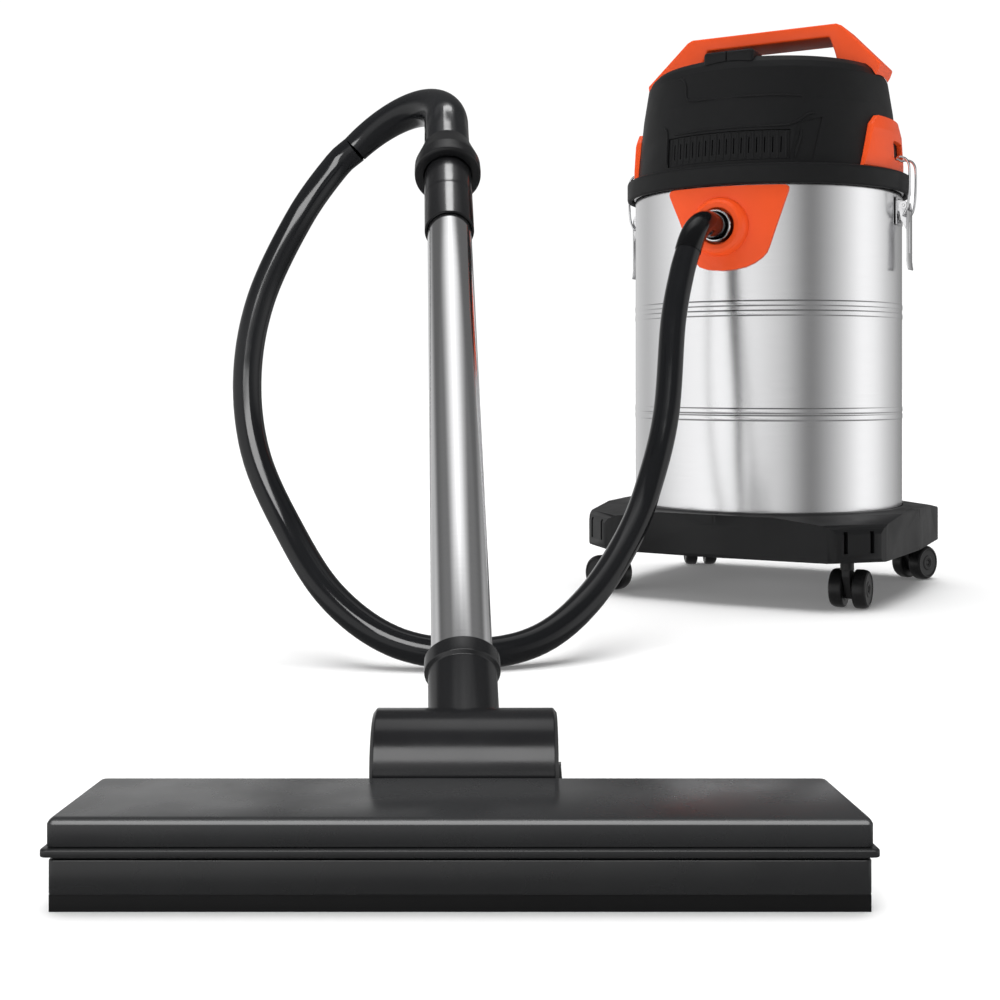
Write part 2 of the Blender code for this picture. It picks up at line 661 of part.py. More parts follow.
def make_motor():
    wall = [(0.0450, 0.5980), (0.0450, 0.5365), (0.0122, 0.5365), (0.0122, 0.5435), (0.0410, 0.5435)]
    wall += [(0.0410, 0.5905), (0.0122, 0.5905), (0.0122, 0.5980)]
    turned("motor_housing", wall, GREY, head, 24)
    windings = [(0.0404, 0.5800), (0.0404, 0.5460), (0.0262, 0.5460), (0.0262, 0.5800)]
    turned("motor_stator", windings, COPPER, head, 24)
    for name, low in (("bearing_lower", 0.5368), ("bearing_upper", 0.5911)):
        top = low + 0.0062
        turned(name, [(0.0116, top), (0.0116, low), (0.0046, low), (0.0046, top)], STEEL, head, 24)
    rotor = [(0, 0.6000), (0.0040, 0.6000), (0.0040, 0.5780), (0.0245, 0.5780), (0.0245, 0.5480)]
    rotor += [(0.0040, 0.5480), (0.0040, 0.4960), (0, 0.4960)]
    turned("motor_rotor", rotor, STEEL, head, 24)
    disc = [(0.0500, 0.5000), (0.0500, 0.5016), (0.0085, 0.5016)]
    disc += [(0.0085, 0.5200), (0.0046, 0.5200), (0.0046, 0.5000)]
    impeller = turned("impeller", disc, STEEL, head, 24)
    for i in range(7):
        low, high, turn = (0.0080, -0.0007, 0.5010), (0.0490, 0.0007, 0.5170), (0, 0, tau * i / 7)
        join(impeller, block(f"blade_{i}", low, high, None, head, turn=turn))
    casing = [(0.0600, 0.5310), (0.0600, 0.4904), (0.0260, 0.4904), (0.0260, 0.4922), (0.0582, 0.4922)]
    casing += [(0.0582, 0.5290), (0.0160, 0.5290), (0.0160, 0.5310)]
    casing = turned("fan_housing", casing, GREY, head, 24)
    for i in range(2):
        low, high, turn = (-0.08, -0.011, 0.505), (0.08, 0.011, 0.520), (0, 0, pi / 2 * i)
        cut(casing, block(f"fan_outlet_{i}", low, high, None, head, turn=turn))


def make_float_and_filter():
    cup = [(0, 0.4230), (0.0400, 0.4230), (0.0400, 0.4780), (0.0185, 0.4780)]
    cup += [(0.0185, 0.4846), (0.0430, 0.4846), (0.0430, 0.4200), (0, 0.4200)]
    cage = turned("float_cage", cup, GREY, head, 24)
    for i in range(3):
        low, high, turn = (-0.08, -0.009, 0.428), (0.08, 0.009, 0.472), (0, 0, pi / 3 * i)
        cut(cage, block(f"cage_window_{i}", low, high, None, head, turn=turn))
    ball = [(0.0220 * sin(pi * i / 10), 0.4460 + 0.0220 * cos(pi * i / 10)) for i in range(11)]
    ball[0], ball[-1] = (0, ball[0][1]), (0, ball[-1][1])
    turned("float_ball", ball, ORANGE, head, 20)
    pleats = [(0, 0.3800), (0.0560, 0.3800), (0.0560, 0.4846)]
    pleats += [(0.0720, 0.4846), (0.0720, 0.3720), (0, 0.3720)]
    turned("filter_cartridge", pleats, PAPER, head, 32)


# ---------------------------------------------------------------- wand and hose


def make_neck():
    """The nozzle's hinge barrel and the pipe that takes the wand, moulded in one."""
    low, high = WAND_ENDS[0] - 0.0005, NECK_TOP
    pipe = [(0, -0.004), (0.0200, -0.004), (0.0200, 0.0600), (0.0220, 0.0615), (0.0220, high), (0, high)]
    neck = turned("nozzle_neck", pipe, BLACK, wand, 24)
    join(neck, rod("barrel", BARREL_R, -BARREL_HALF, BARREL_HALF, None, hinge, 32, (0, pi / 2, 0)))
    bore = [(0, 0.08), (0.0184, 0.08), (0.0184, low), (0.0150, low), (0.0150, 0), (0, 0)]
    cut(neck, turned("neck_bore", bore, None, wand, 24))
    cut(neck, rod("barrel_cavity", 0.0225, -0.024, 0.024, None, hinge, 24, (0, pi / 2, 0)))
    cut(neck, block("barrel_mouth", (-0.018, -0.040, -0.040), (0.018, -0.004, -0.010), None, hinge))


def make_wand():
    low, high = WAND_ENDS
    tube = [(WAND_R[1], high), (WAND_R[1], low), (WAND_R[0], low), (WAND_R[0], high)]
    turned("wand_tube", tube, STEEL, wand, 24)
    step, top, neck = high + 0.0005, HANDLE_START - GAP, SLEEVE_R - 0.0006
    sleeve = [(SLEEVE_R, SOCKET_START), (0.0184, SOCKET_START), (0.0184, step), (0.0150, step)]
    sleeve += [(0.0150, top), (neck, top), (neck, 0.5990), (SLEEVE_R, 0.5980)]
    turned("wand_sleeve", sleeve, BLACK, wand, 24)
    start, end = COLLAR_ENDS
    cup = [(0.0204, start), (0.0270, start), (0.0285, start + 0.0030), (0.0285, start + 0.0130)]
    cup += [(0.0240, end - 0.0080), (0.0215, end), (0.0204, end)]
    turned("swivel_collar", cup, BLACK, wand, 24)


def hose_handle_points():
    """The rigid bent pipe: straight on from the wand, then over and down, narrowing to the hose."""
    way = world_of(wand, (0, 0, 1)) - world_of(wand, (0, 0, 0))
    start = world_of(wand, (0, 0, HANDLE_START))
    corner = world_of(wand, (0, 0, HANDLE_BEND_AT))
    points = [start, corner] + bend(corner, way, HANDLE_END_WAY, HANDLE_BEND_R, 9)[1:]
    radii = [HANDLE_R + (HOSE_R + 0.001 - HANDLE_R) * i / (len(points) - 1) for i in range(len(points))]
    return points, radii


def make_hose():
    points, radii = hose_handle_points()
    hollow_pipe("hose_handle", points, radii, [r - HANDLE_WALL for r in radii], GLOSS, None)
    ends = [world_of(canister, p) for p in cuff_points()]
    leave = (points[-1] - points[-2]).normalized()
    arrive = (ends[-1] - ends[-2]).normalized()
    first, last = points[-1] + leave * HOSE_GAP, ends[-1] + arrive * HOSE_GAP
    route = [first, first + leave * 0.025] + HOSE_ROUTE + [last + arrive * 0.030, last]
    line = smooth_line(route, 0.030)
    pipe_line("hose", line, [HOSE_R] * len(line), GLOSS, None)


# ---------------------------------------------------------------- nozzle


def make_nozzle():
    front, back = NOZZLE_HALF
    low, high = COVER_BAND
    wide, narrow = (front, back), (front - 0.003, back - 0.001)
    cover = wedge_box("nozzle_cover", (0, low), (NOZZLE_DEPTH, high), wide, narrow, BLACK, nozzle, 0.001)
    hollow, far = (front - 0.004, back - 0.004), (NOZZLE_DEPTH - 0.004, high - 0.003)
    cut(cover, wedge_box("cover_hollow", (0.004, 0.02), far, hollow, hollow, None, nozzle))
    low, high = BUMPER_BAND
    start, end, wide = (-0.0030, low), (NOZZLE_DEPTH - 0.010, high), (0.1990, 0.1940)
    bumper = wedge_box("nozzle_bumper", start, end, wide, wide, RUBBER, nozzle)
    cut(bumper, block("bumper_inside", (-0.184, 0.009, 0), (0.184, 0.2, 0.1), None, nozzle))
    low, high = BASE_BAND
    wide = (front - 0.001, back)
    base = wedge_box("nozzle_base", (0.001, low), (NOZZLE_DEPTH, high), wide, wide, BLACK, nozzle)
    left, right = (-BARREL_HALF - 0.0030, 0.068, low + 0.0003), (BARREL_HALF + 0.0030, 0.0920, high - 0.0003)
    bridge = block("saddle_bridge", left, right, None, nozzle)
    cut(bridge, rod("bridge_clearance", SADDLE_R[0] + 0.0006, -0.08, 0.08, None, hinge, 32, (0, pi / 2, 0)))
    join(base, bridge)
    saddle = arc((HINGE_BACK, HINGE_HEIGHT), SADDLE_R[1], *SADDLE_ARC, 10)
    saddle += arc((HINGE_BACK, HINGE_HEIGHT), SADDLE_R[0], *SADDLE_ARC[::-1], 10)
    join(base, slab("saddle", saddle, 2 * BARREL_HALF + 0.007, None, nozzle, turn=(pi / 2, 0, pi / 2)))
    cheek = arc((HINGE_BACK, HINGE_HEIGHT), SADDLE_R[1] - 0.001, *SADDLE_ARC, 8)
    for side in (-1, 1):
        at = (side * (BARREL_HALF + 0.0020), 0, 0)
        join(base, slab(f"saddle_end_{side}", cheek, 0.0028, None, nozzle, at, (pi / 2, 0, pi / 2)))
    cut(base, block("suction_mouth", (-0.178, 0.014, -0.01), (0.178, 0.046, 0.0215), None, nozzle))
    cut(base, block("suction_duct", (-0.018, 0.040, 0.0112), (0.018, 0.092, 0.0222), None, nozzle))
    block("nozzle_lip", (-0.1945, 0.0030, 0), (0.1945, 0.0075, BASE_BAND[0] - GAP), RUBBER, nozzle)
    block("nozzle_brush", (-0.1800, 0.0560, 0), (0.1800, 0.0640, BASE_BAND[0] - GAP), RUBBER, nozzle)


clear_scene()
parts = new_collection("shop_vacuum")
cutters = new_collection("cutters")
canister = empty("canister_axis", (*CANISTER_AT, 0), (0, 0, CANISTER_TURN))
head = empty("head_axis", parent=canister)
casters = {}
for end, back in (("front", -1), ("rear", 1)):
    for hand, right in (("left", -1), ("right", 1)):
        turn = (0, 0, radians(45 if right > 0 else 135) * back)
        radial = empty(f"caster_{end}_{hand}_spoke", turn=turn, parent=canister)
        trail = radians(CASTER_TURNS[f"{end}_{hand}"])
        swivel = empty(f"caster_{end}_{hand}_swivel", (CASTER_R, 0, 0), (0, 0, trail), radial)
        casters[f"caster_{end}_{hand}"] = {"radial": radial, "swivel": swivel}
make_drum()
make_dolly()
for caster_name, frames in casters.items():
    make_caster(caster_name, frames["swivel"])
make_inlet()
make_head_base()
make_head_cover()
over_cover = cover_envelope()
for hand, facing in (("right", 0), ("left", pi)):
    make_latch(hand, empty(f"latch_frame_{hand}", turn=(0, 0, facing), parent=canister))
    make_catch(hand, empty(f"catch_frame_{hand}", turn=(0, 0, facing), parent=head), over_cover)
make_carry_handle(over_cover)
make_switch(over_cover)
make_gland()
make_motor()
make_float_and_filter()

hinge = empty("nozzle_hinge", (NOZZLE_AT[0], NOZZLE_AT[1] + HINGE_BACK, HINGE_HEIGHT))
nozzle = empty("nozzle_front", (0, -HINGE_BACK, -HINGE_HEIGHT), parent=hinge)
wand = empty("wand_axis", hinge.location, (WAND_RISE - pi / 2, 0, WAND_LEAN))
make_neck()
make_wand()
make_hose()
make_nozzle()
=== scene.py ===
"""The looks of the shop vacuum: fine pieces, materials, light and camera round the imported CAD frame.

Metres, +Z up, in the CAD's row frame. Each piece is built in the local frame of what it belongs to (canister,
latch, caster, wand or nozzle) and rides on the CAD body that moves it.
"""

import json
from functools import partial
from math import acos, asin, atan2, cos, hypot, pi, radians, sin, tau

import bmesh
import bpy
from mathutils import Euler, Matrix, Vector


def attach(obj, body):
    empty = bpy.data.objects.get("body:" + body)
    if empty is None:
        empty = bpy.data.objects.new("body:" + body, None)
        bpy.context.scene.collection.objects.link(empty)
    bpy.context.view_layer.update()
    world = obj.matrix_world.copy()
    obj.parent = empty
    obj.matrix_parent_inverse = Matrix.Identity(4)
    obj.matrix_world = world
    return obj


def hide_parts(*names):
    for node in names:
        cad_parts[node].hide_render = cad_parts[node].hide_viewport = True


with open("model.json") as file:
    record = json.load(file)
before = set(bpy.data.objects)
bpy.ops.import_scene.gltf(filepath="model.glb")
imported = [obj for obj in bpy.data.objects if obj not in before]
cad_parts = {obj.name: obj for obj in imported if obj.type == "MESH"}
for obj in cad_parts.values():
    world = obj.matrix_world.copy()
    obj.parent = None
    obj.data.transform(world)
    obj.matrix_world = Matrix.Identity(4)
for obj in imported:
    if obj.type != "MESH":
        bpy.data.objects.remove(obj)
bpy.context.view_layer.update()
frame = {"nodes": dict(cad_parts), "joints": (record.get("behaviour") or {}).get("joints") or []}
joints = {joint["name"]: joint for joint in frame["joints"]}


def shift(x, y, z):
    return Matrix.Translation((x, y, z))


def spin(angle, axis):
    return Matrix.Rotation(angle, 4, axis)


# Frames that the CAD's joints fix
INLET_WAY = Vector(joints["inlet_ring_turn"]["axis"])
CANISTER = shift(*joints["motor_spin"]["pos_m"][:2], 0) @ spin(atan2(INLET_WAY.x, -INLET_WAY.y), "Z")
HINGE_AT = Vector(joints["nozzle_tilt"]["pos_m"])
HINGE = Matrix.Translation(HINGE_AT)
HINGE_ACROSS = HINGE @ spin(pi / 2, "Y")
HINGE_SECTION = (0.1035, 0.045)  # distance behind the nozzle's front, height
NOZZLE = shift(HINGE_AT.x, HINGE_AT.y - HINGE_SECTION[0], 0)
WAND_WAY = Vector(joints["wand_collar_turn"]["axis"])
WAND = Matrix.Translation(HINGE_AT) @ Euler(
    (-acos(WAND_WAY.z), 0, atan2(-WAND_WAY.x, WAND_WAY.y))
).to_matrix().to_4x4()
INLET_HEIGHT = joints["inlet_ring_turn"]["pos_m"][2]
INLET = CANISTER @ shift(0, 0, INLET_HEIGHT) @ spin(pi / 2, "X")
GLAND = CANISTER @ shift(0, 0, 0.53) @ spin(-pi / 2, "X")
LATCHES = {"right": CANISTER, "left": CANISTER @ spin(pi, "Z")}

CASTERS = ["caster_front_left", "caster_front_right", "caster_rear_left", "caster_rear_right"]

# Camera
CAMERA_AT = (-0.1682, -1.3427, 0.254)
LENS = 52.2
CAMERA_SHIFT = -0.122

# Hose
HOSE_R = 0.0135
JOIN_STEP = 0.0002  # how far the hose swells where it meets the handle
HOSE_ROUTE = [
    (-0.3612, 0.0525, 0.4077), (-0.3967, 0.046, 0.3304), (-0.4086, 0.0371, 0.2561),
    (-0.3983, 0.0219, 0.1835), (-0.3644, -0.0052, 0.1174), (-0.3187, -0.0484, 0.0598),
    (-0.2615, -0.0754, 0.024), (-0.1958, -0.0808, 0.0139), (-0.1355, -0.0609, 0.0218),
    (-0.0877, -0.0195, 0.0517), (-0.0447, 0.057, 0.099), (-0.0186, 0.1086, 0.1483),
    (0.0021, 0.1439, 0.2169), (0.0139, 0.1831, 0.3117),
]
CUFF_R = (0.0112, 0.0142)
CUFF_STRAIGHT = 0.202
CUFF_BEND_R = 0.055
CUFF_END_WAY = Vector((-0.0732, -0.3836, -0.92))
HANDLE_START = 0.6446
HANDLE_BEND_AT = 0.69
HANDLE_BEND_R = 0.075
HANDLE_R = 0.02
HANDLE_END_WAY = Vector((-0.7, -0.05, -0.71))

# Drum and head
DRUM_R = 0.16
DRUM_WALL = 0.0012
DRUM_BOTTOM = 0.078
DRUM_TOP = 0.478
DRUM_BEADS = (0.338, 0.327, 0.217, 0.209)
BEAD_RISE = 0.0006
COVER_SKIN = 0.003
VENT_PITCH = 0.0085
VENT_R = 0.152
COVER_PROFILE = [
    (0.085, 0.612), (0.095, 0.6245), (0.11, 0.6245), (0.132, 0.6205), (0.139, 0.614), (0.1435, 0.606),
    (0.1495, 0.569), (0.1575, 0.4944),
]

# The head cover's raised lines: name, radius, and (degrees from the front, height) along each
RIDGES = [
    (
        "cover_ridge_vent", 0.0014,
        [(-25, 0.5365), (-12, 0.5368), (4, 0.537), (20, 0.5372), (28, 0.5385), (32, 0.543), (36, 0.55),
        (40, 0.552)],
    ),
    ("cover_ridge_right", 0.0014, [(33, 0.533), (32.5, 0.524), (31, 0.512), (30, 0.501)]),
    ("cover_ridge_left", 0.0014, [(-33, 0.548), (-30.5, 0.544), (-29.5, 0.536), (-29, 0.52), (-28.5, 0.503)]),
    (
        "cover_ridge_step", 0.0011,
        [(-26, 0.603), (-23, 0.601), (-20.5, 0.593), (-19.5, 0.58), (-17, 0.574), (-8, 0.5725), (10, 0.5722),
        (24, 0.5722), (34, 0.571)],
    ),
]


# ---- materials


class Tree:
    """Short calls for building a node tree."""

    def __init__(self, tree):
        self.nodes, self.links = tree.nodes, tree.links

    def feed(self, socket, value):
        if isinstance(value, bpy.types.NodeSocket):
            self.links.new(value, socket)
        else:
            socket.default_value = value

    def fill(self, node, **inputs):
        """Sets or links a node's inputs, named with underscores for spaces."""
        for name, value in inputs.items():
            self.feed(node.inputs[name.replace("_", " ")], value)
        return node

    def add(self, kind, settings=None, **inputs):
        made = self.nodes.new("ShaderNode" + kind)
        for name, value in (settings or {}).items():
            setattr(made, name, value)
        return self.fill(made, **inputs)


class Look(Tree):
    """A Principled material whose roughness, bump and colour vary with noise in the piece's own space."""

    def __init__(self, name, colour, roughness, metallic=0.0, specular=0.5):
        self.material = bpy.data.materials.new(name)
        self.material.use_nodes = True
        super().__init__(self.material.node_tree)
        self.shader = self.nodes["Principled BSDF"]
        self.fill(self.shader, Base_Color=(*colour, 1), Roughness=roughness, Metallic=metallic)
        self.fill(self.shader, Specular_IOR_Level=specular)
        self.slot, self.colour, self.roughness = name, colour, roughness

    def noise(self, scale, stretch=(1, 1, 1), detail=2.0):
        """Noise with about scale features a metre, closer together along an axis whose stretch is above 1."""
        place = self.add("TexCoord").outputs["Object"]
        stretched = self.add("Mapping", Vector=place, Scale=stretch).outputs["Vector"]
        return self.add("TexNoise", Vector=stretched, Scale=scale, Detail=detail).outputs["Fac"]

    def spread(self, fac, low, high):
        """The noise's middle range mapped to low..high."""
        made = self.add("MapRange", Value=fac, From_Min=0.3, From_Max=0.7, To_Min=low, To_Max=high)
        return made.outputs["Result"]

    def vary_roughness(self, fac, by):
        self.fill(self.shader, Roughness=self.spread(fac, self.roughness - by, self.roughness + by))

    def vary_colour(self, fac, other):
        fac = self.spread(fac, 0, 1)
        mix = self.add("Mix", {"data_type": "RGBA"}, A=(*self.colour, 1), B=(*other, 1), Factor=fac)
        self.fill(self.shader, Base_Color=mix.outputs["Result"])

    def bump(self, fac, depth):
        made = self.add("Bump", Strength=1, Distance=depth, Height=fac)
        self.fill(self.shader, Normal=made.outputs["Normal"])


def shade(colour, factor):
    return tuple(min(1, c * factor) for c in colour)


def moulded(name, colour, roughness, grain=1400, depth=0.00004, mottle=1.12, specular=0.3):
    """Moulded plastic: a fine spark-eroded grain, with faint flow marks in colour and gloss."""
    look = Look(name, colour, roughness, specular=specular)
    look.vary_colour(look.noise(9, detail=4), shade(colour, mottle))
    look.vary_roughness(look.noise(26, detail=5), 0.05)
    look.bump(look.noise(grain, detail=3), depth)
    return look


def brushed(name, colour, roughness, streak, depth=0.000002, spread=0.02, anisotropy=0.0):
    """Brushed metal whose scratches are close together along streak's long axis."""
    look = Look(name, colour, roughness, 1)
    look.vary_roughness(look.noise(24, streak, 4), spread)
    look.vary_colour(look.noise(31, streak, 3), shade(colour, 0.97))
    look.bump(look.noise(40, streak, 3), depth)
    if anisotropy:
        tangent = look.add("Tangent", {"direction_type": "RADIAL", "axis": "Z"})
        look.fill(look.shader, Anisotropic=anisotropy, Tangent=tangent.outputs["Tangent"])
    return look


def make_looks():
    black, orange = (0.0098, 0.01, 0.0105), (0.93, 0.095, 0.017)
    return {
        "drum": brushed("drum_steel", (0.88, 0.88, 0.89), 0.21, (1, 1, 60), anisotropy=0.4),
        "wand": brushed("wand_steel", (0.88, 0.88, 0.89), 0.14, (1, 1, 40), anisotropy=0.3),
        "latch": brushed("latch_steel", (0.8, 0.8, 0.81), 0.16, (8, 8, 2)),
        "head": moulded("head_black", black, 0.5, specular=0.2),
        "dolly": moulded("dolly_black", (0.0095, 0.0097, 0.0102), 0.4, 1100, specular=0.25),
        "caster": moulded("caster_black", (0.009, 0.009, 0.0094), 0.34, 900, 0.00003),
        "orange": moulded("trim_orange", orange, 0.38, 1500, 0.00003, 0.9),
        "hose": moulded("hose_black", (0.0045, 0.0047, 0.0052), 0.13, 160, 0.00001, 1.2, 0.28),
        "fitting": moulded("wand_fittings", (0.0065, 0.0066, 0.0072), 0.22, 800, 0.00001, 1.2, 0.48),
        "nozzle": moulded("nozzle_black", (0.008, 0.0082, 0.0086), 0.27, 1300, 0.00002, specular=0.45),
        "rubber": moulded("seal_rubber", (0.0065, 0.0065, 0.0068), 0.58, 500, 0.00006, specular=0.2),
        "paper": moulded("filter_paper", (0.74, 0.71, 0.63), 0.92, 2200, 0.00008, 0.93),
        "grey": moulded("inner_grey", (0.28, 0.28, 0.29), 0.48),
        "copper": brushed("winding_copper", (0.62, 0.27, 0.12), 0.36, (3, 3, 50), 0.0002, 0.06),
        "motor": brushed("motor_steel", (0.62, 0.62, 0.63), 0.3, (2, 2, 30), 0.00001, 0.06),
        "fan": brushed("fan_aluminium", (0.8, 0.8, 0.81), 0.33, (12, 12, 3), 0.00001, 0.06),
    }


# ---- shapes


# Each piece's CAD slot, which has the name of the material of its look
slot_of = {}


def put(name, data):
    made = bpy.data.objects.new(name, data)
    bpy.context.scene.collection.objects.link(made)
    return made


def link(name, mesh, look, where):
    made = put(name, mesh)
    made.matrix_world = where
    mesh.materials.clear()
    if look:
        mesh.materials.append(looks[look].material)
        slot_of[made.name] = looks[look].slot
    return made


def filleted(profile, radius, steps=4, closed=True):
    """The profile with each corner rounded by an arc, smaller where its edges are short."""
    points = [Vector(p) for p in profile]
    count = len(points)
    made = []
    for i, corner in enumerate(points):
        if not closed and i in (0, count - 1):
            made.append(tuple(corner))
            continue
        back, on = points[i - 1] - corner, points[(i + 1) % count] - corner
        turn = pi - back.angle(on, pi)
        if turn < 0.03:
            made.append(tuple(corner))
            continue
        reach = min(radius * abs(sin(turn / 2) / cos(turn / 2)), 0.48 * back.length, 0.48 * on.length)
        a, b = corner + back.normalized() * reach, corner + on.normalized() * reach
        for k in range(steps + 1):
            t = k / steps
            made.append(tuple((1 - t) ** 2 * a + 2 * t * (1 - t) * corner + t * t * b))
    return made


def mesh_from(shape):
    """The bmesh as a mesh whose faces all look outward."""
    bmesh.ops.recalc_face_normals(shape, faces=shape.faces)
    mesh = bpy.data.meshes.new("shape")
    shape.to_mesh(mesh)
    shape.free()
    return mesh


def skin(shape, one, two):
    """Faces between two closed rows of vertices, which may share some."""
    count = len(one)
    for k in range(count):
        corners = [one[k], one[(k + 1) % count], two[(k + 1) % count], two[k]]
        corners = [c for i, c in enumerate(corners) if c not in corners[:i]]
        if len(corners) > 2:
            shape.faces.new(corners)


def solid(shape, name, look, where, edge, segments, angle=35):
    """The bmesh as a piece whose sharp edges are rounded."""
    made = link(name, mesh_from(shape), look, where)
    if edge:
        bevel(made, edge, segments, angle)
    return made


def smooth(mesh, angle=32):
    mesh.shade_smooth()
    mesh.set_sharp_from_angle(angle=radians(angle))


def turned(name, profile, look, where, fillet, steps):
    """Rings of the (radius, height) profile about Z. One that starts and ends on the axis is solid."""
    closed = not (profile[0][0] == 0 and profile[-1][0] == 0)
    if fillet:
        profile = filleted(profile, fillet, closed=closed)
    shape = bmesh.new()
    turns = [tau * k / steps for k in range(steps)]
    rings = []
    for r, z in profile:
        if r < 1e-7:
            rings.append([shape.verts.new((0, 0, z))] * steps)
        else:
            rings.append([shape.verts.new((r * cos(t), r * sin(t), z)) for t in turns])
    for one, two in zip(rings, rings[1:] + rings[:1] if closed else rings[1:]):
        skin(shape, one, two)
    made = link(name, mesh_from(shape), look, where)
    smooth(made.data)
    return made


def upright(where, along="Y"):
    """A frame for an outline drawn in (x, z) with its thickness along Y, or in (y, z) with it along X."""
    stand = spin(pi / 2, "X")
    return where @ (stand if along == "Y" else spin(pi / 2, "Z") @ stand)


def slab(name, outline, thickness, look, where, edge, segments=3):
    """A flat outline with its thickness centred on the frame's XY plane and its edges rounded."""
    shape = bmesh.new()
    face = shape.faces.new([shape.verts.new((x, y, -thickness / 2)) for x, y in outline])
    raised = bmesh.ops.extrude_face_region(shape, geom=[face])
    top = [v for v in raised["geom"] if isinstance(v, bmesh.types.BMVert)]
    bmesh.ops.translate(shape, vec=(0, 0, thickness), verts=top)
    return solid(shape, name, look, where, edge, segments)


def block(name, low, high, look, where, edge, segments=3):
    shape = bmesh.new()
    bmesh.ops.create_cube(shape, size=1)
    bmesh.ops.scale(shape, vec=Vector(high) - Vector(low), verts=shape.verts)
    bmesh.ops.translate(shape, vec=(Vector(high) + Vector(low)) / 2, verts=shape.verts)
    return solid(shape, name, look, where, edge, segments)


def box(low, high, where):
    """A plain block that is joined to another piece or cut from it."""
    return block("box", low, high, None, where, 0)


def rod(radius, start, end, where, steps):
    """A plain cylinder about Z that is joined to another piece or cut from it."""
    return turned("rod", [(0, start), (radius, start), (radius, end), (0, end)], None, where, 0, steps)


def bevel(piece, width, segments, angle=35):
    """Rounds the piece's edges that are sharper than angle."""
    change = piece.modifiers.new("bevel", "BEVEL")
    change.width = width
    change.segments = segments
    change.limit_method = "ANGLE"
    change.angle_limit = radians(angle)
    change.use_clamp_overlap = True
    settle(piece)
    smooth(piece.data)


def settle(piece):
    """Applies the piece's modifiers to its mesh."""
    made = bpy.data.meshes.new_from_object(piece.evaluated_get(bpy.context.evaluated_depsgraph_get()))
    old = piece.data
    piece.modifiers.clear()
    piece.data = made
    bpy.data.meshes.remove(old)


def combine(operation, piece, *others):
    """Booleans the others with the piece and removes them."""
    for other in others:
        change = piece.modifiers.new("combine", "BOOLEAN")
        change.operation = operation
        change.object = other
        change.solver = "MANIFOLD"
    bpy.context.view_layer.update()
    finish = piece.data.materials[0] if piece.data.materials else None
    settle(piece)
    for other in others:
        bpy.data.objects.remove(other)
    piece.data.materials.clear()
    if finish:
        piece.data.materials.append(finish)
    for face in piece.data.polygons:
        face.material_index = 0
    smooth(piece.data)
    return piece


cut, join, keep = (partial(combine, operation) for operation in ("DIFFERENCE", "UNION", "INTERSECT"))


def tube(name, points, radii, look, where=Matrix.Identity(4), around=32, inner=None, flute=None):
    """A round bar or pipe along the points, its rings turned with least twist."""
    points = [Vector(p) for p in points]
    ways = [(b - a).normalized() for a, b in zip(points, points[1:])]
    ways = [ways[0]] + [(a + b).normalized() for a, b in zip(ways, ways[1:])] + [ways[-1]]
    side = ways[0].orthogonal().normalized()
    shape = bmesh.new()
    outer_rings, inner_rings = [], []
    for i, (point, way) in enumerate(zip(points, ways)):
        side = (side - side.dot(way) * way).normalized()
        up = way.cross(side)
        ring, hole = [], []
        for k in range(around):
            t = tau * k / around
            out = side * cos(t) + up * sin(t)
            r = radii[i] * (flute(i, t) if flute else 1)
            ring.append(shape.verts.new(point + out * r))
            if inner:
                hole.append(shape.verts.new(point + out * inner[i]))
        outer_rings.append(ring)
        inner_rings.append(hole)

    for rings in (outer_rings, inner_rings) if inner else (outer_rings,):
        for one, two in zip(rings, rings[1:]):
            skin(shape, one, two)
    if inner:
        skin(shape, outer_rings[0], inner_rings[0])
        skin(shape, outer_rings[-1], inner_rings[-1])
    else:
        shape.faces.new(outer_rings[0])
        shape.faces.new(outer_rings[-1])
    made = link(name, mesh_from(shape), look, where)
    smooth(made.data, 40)
    return made


def smooth_line(route, spacing):
    """Points at even spacing on the Catmull-Rom curve through the route."""
    route = [Vector(p) for p in route]
    ends = [2 * route[0] - route[1]] + route + [2 * route[-1] - route[-2]]
    fine = []
    for a, b, c, d in zip(ends, ends[1:], ends[2:], ends[3:]):
        for i in range(24):
            t = i / 24
            curved = (2 * a - 5 * b + 4 * c - d) * t**2 + (3 * b - a - 3 * c + d) * t**3
            fine.append(0.5 * (2 * b + (c - a) * t + curved))
    fine.append(route[-1])
    length = sum((q - p).length for p, q in zip(fine, fine[1:]))
    step = length / round(length / spacing)
    points, gone = [fine[0]], 0
    for p, q in zip(fine, fine[1:]):
        gone += (q - p).length
        if gone >= step - 1e-6:
            points.append(q)
            gone -= step
    points[-1] = fine[-1]
    return points


def bend(start, way, end_way, radius, steps):
    """Points of a plane bend that leaves start along way and ends along end_way."""
    way, end_way = way.normalized(), end_way.normalized()
    inward = (end_way - end_way.dot(way) * way).normalized()
    angle = acos(end_way.dot(way))
    turns = [angle * i / steps for i in range(steps + 1)]
    return [start + radius * (sin(t) * way + (1 - cos(t)) * inward) for t in turns]


def arc(centre, radius, start, end, steps):
    turns = [start + (end - start) * i / steps for i in range(steps + 1)]
    return [(centre[0] + radius * cos(t), centre[1] + radius * sin(t)) for t in turns]


def stand_for(piece, body, *nodes, slot=None):
    """The piece moves with a CAD body and stands for the CAD nodes given, or else the one in its name."""
    if piece.name.endswith("_fine"):
        nodes = nodes or (piece.name.removesuffix("_fine"),)
    slot = slot or slot_of[piece.name]
    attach(piece, body)
    if nodes:
        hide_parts(*nodes)


# ---- stage


SUN_STRENGTH = 2.8
SOFTBOX_WATTS = 24

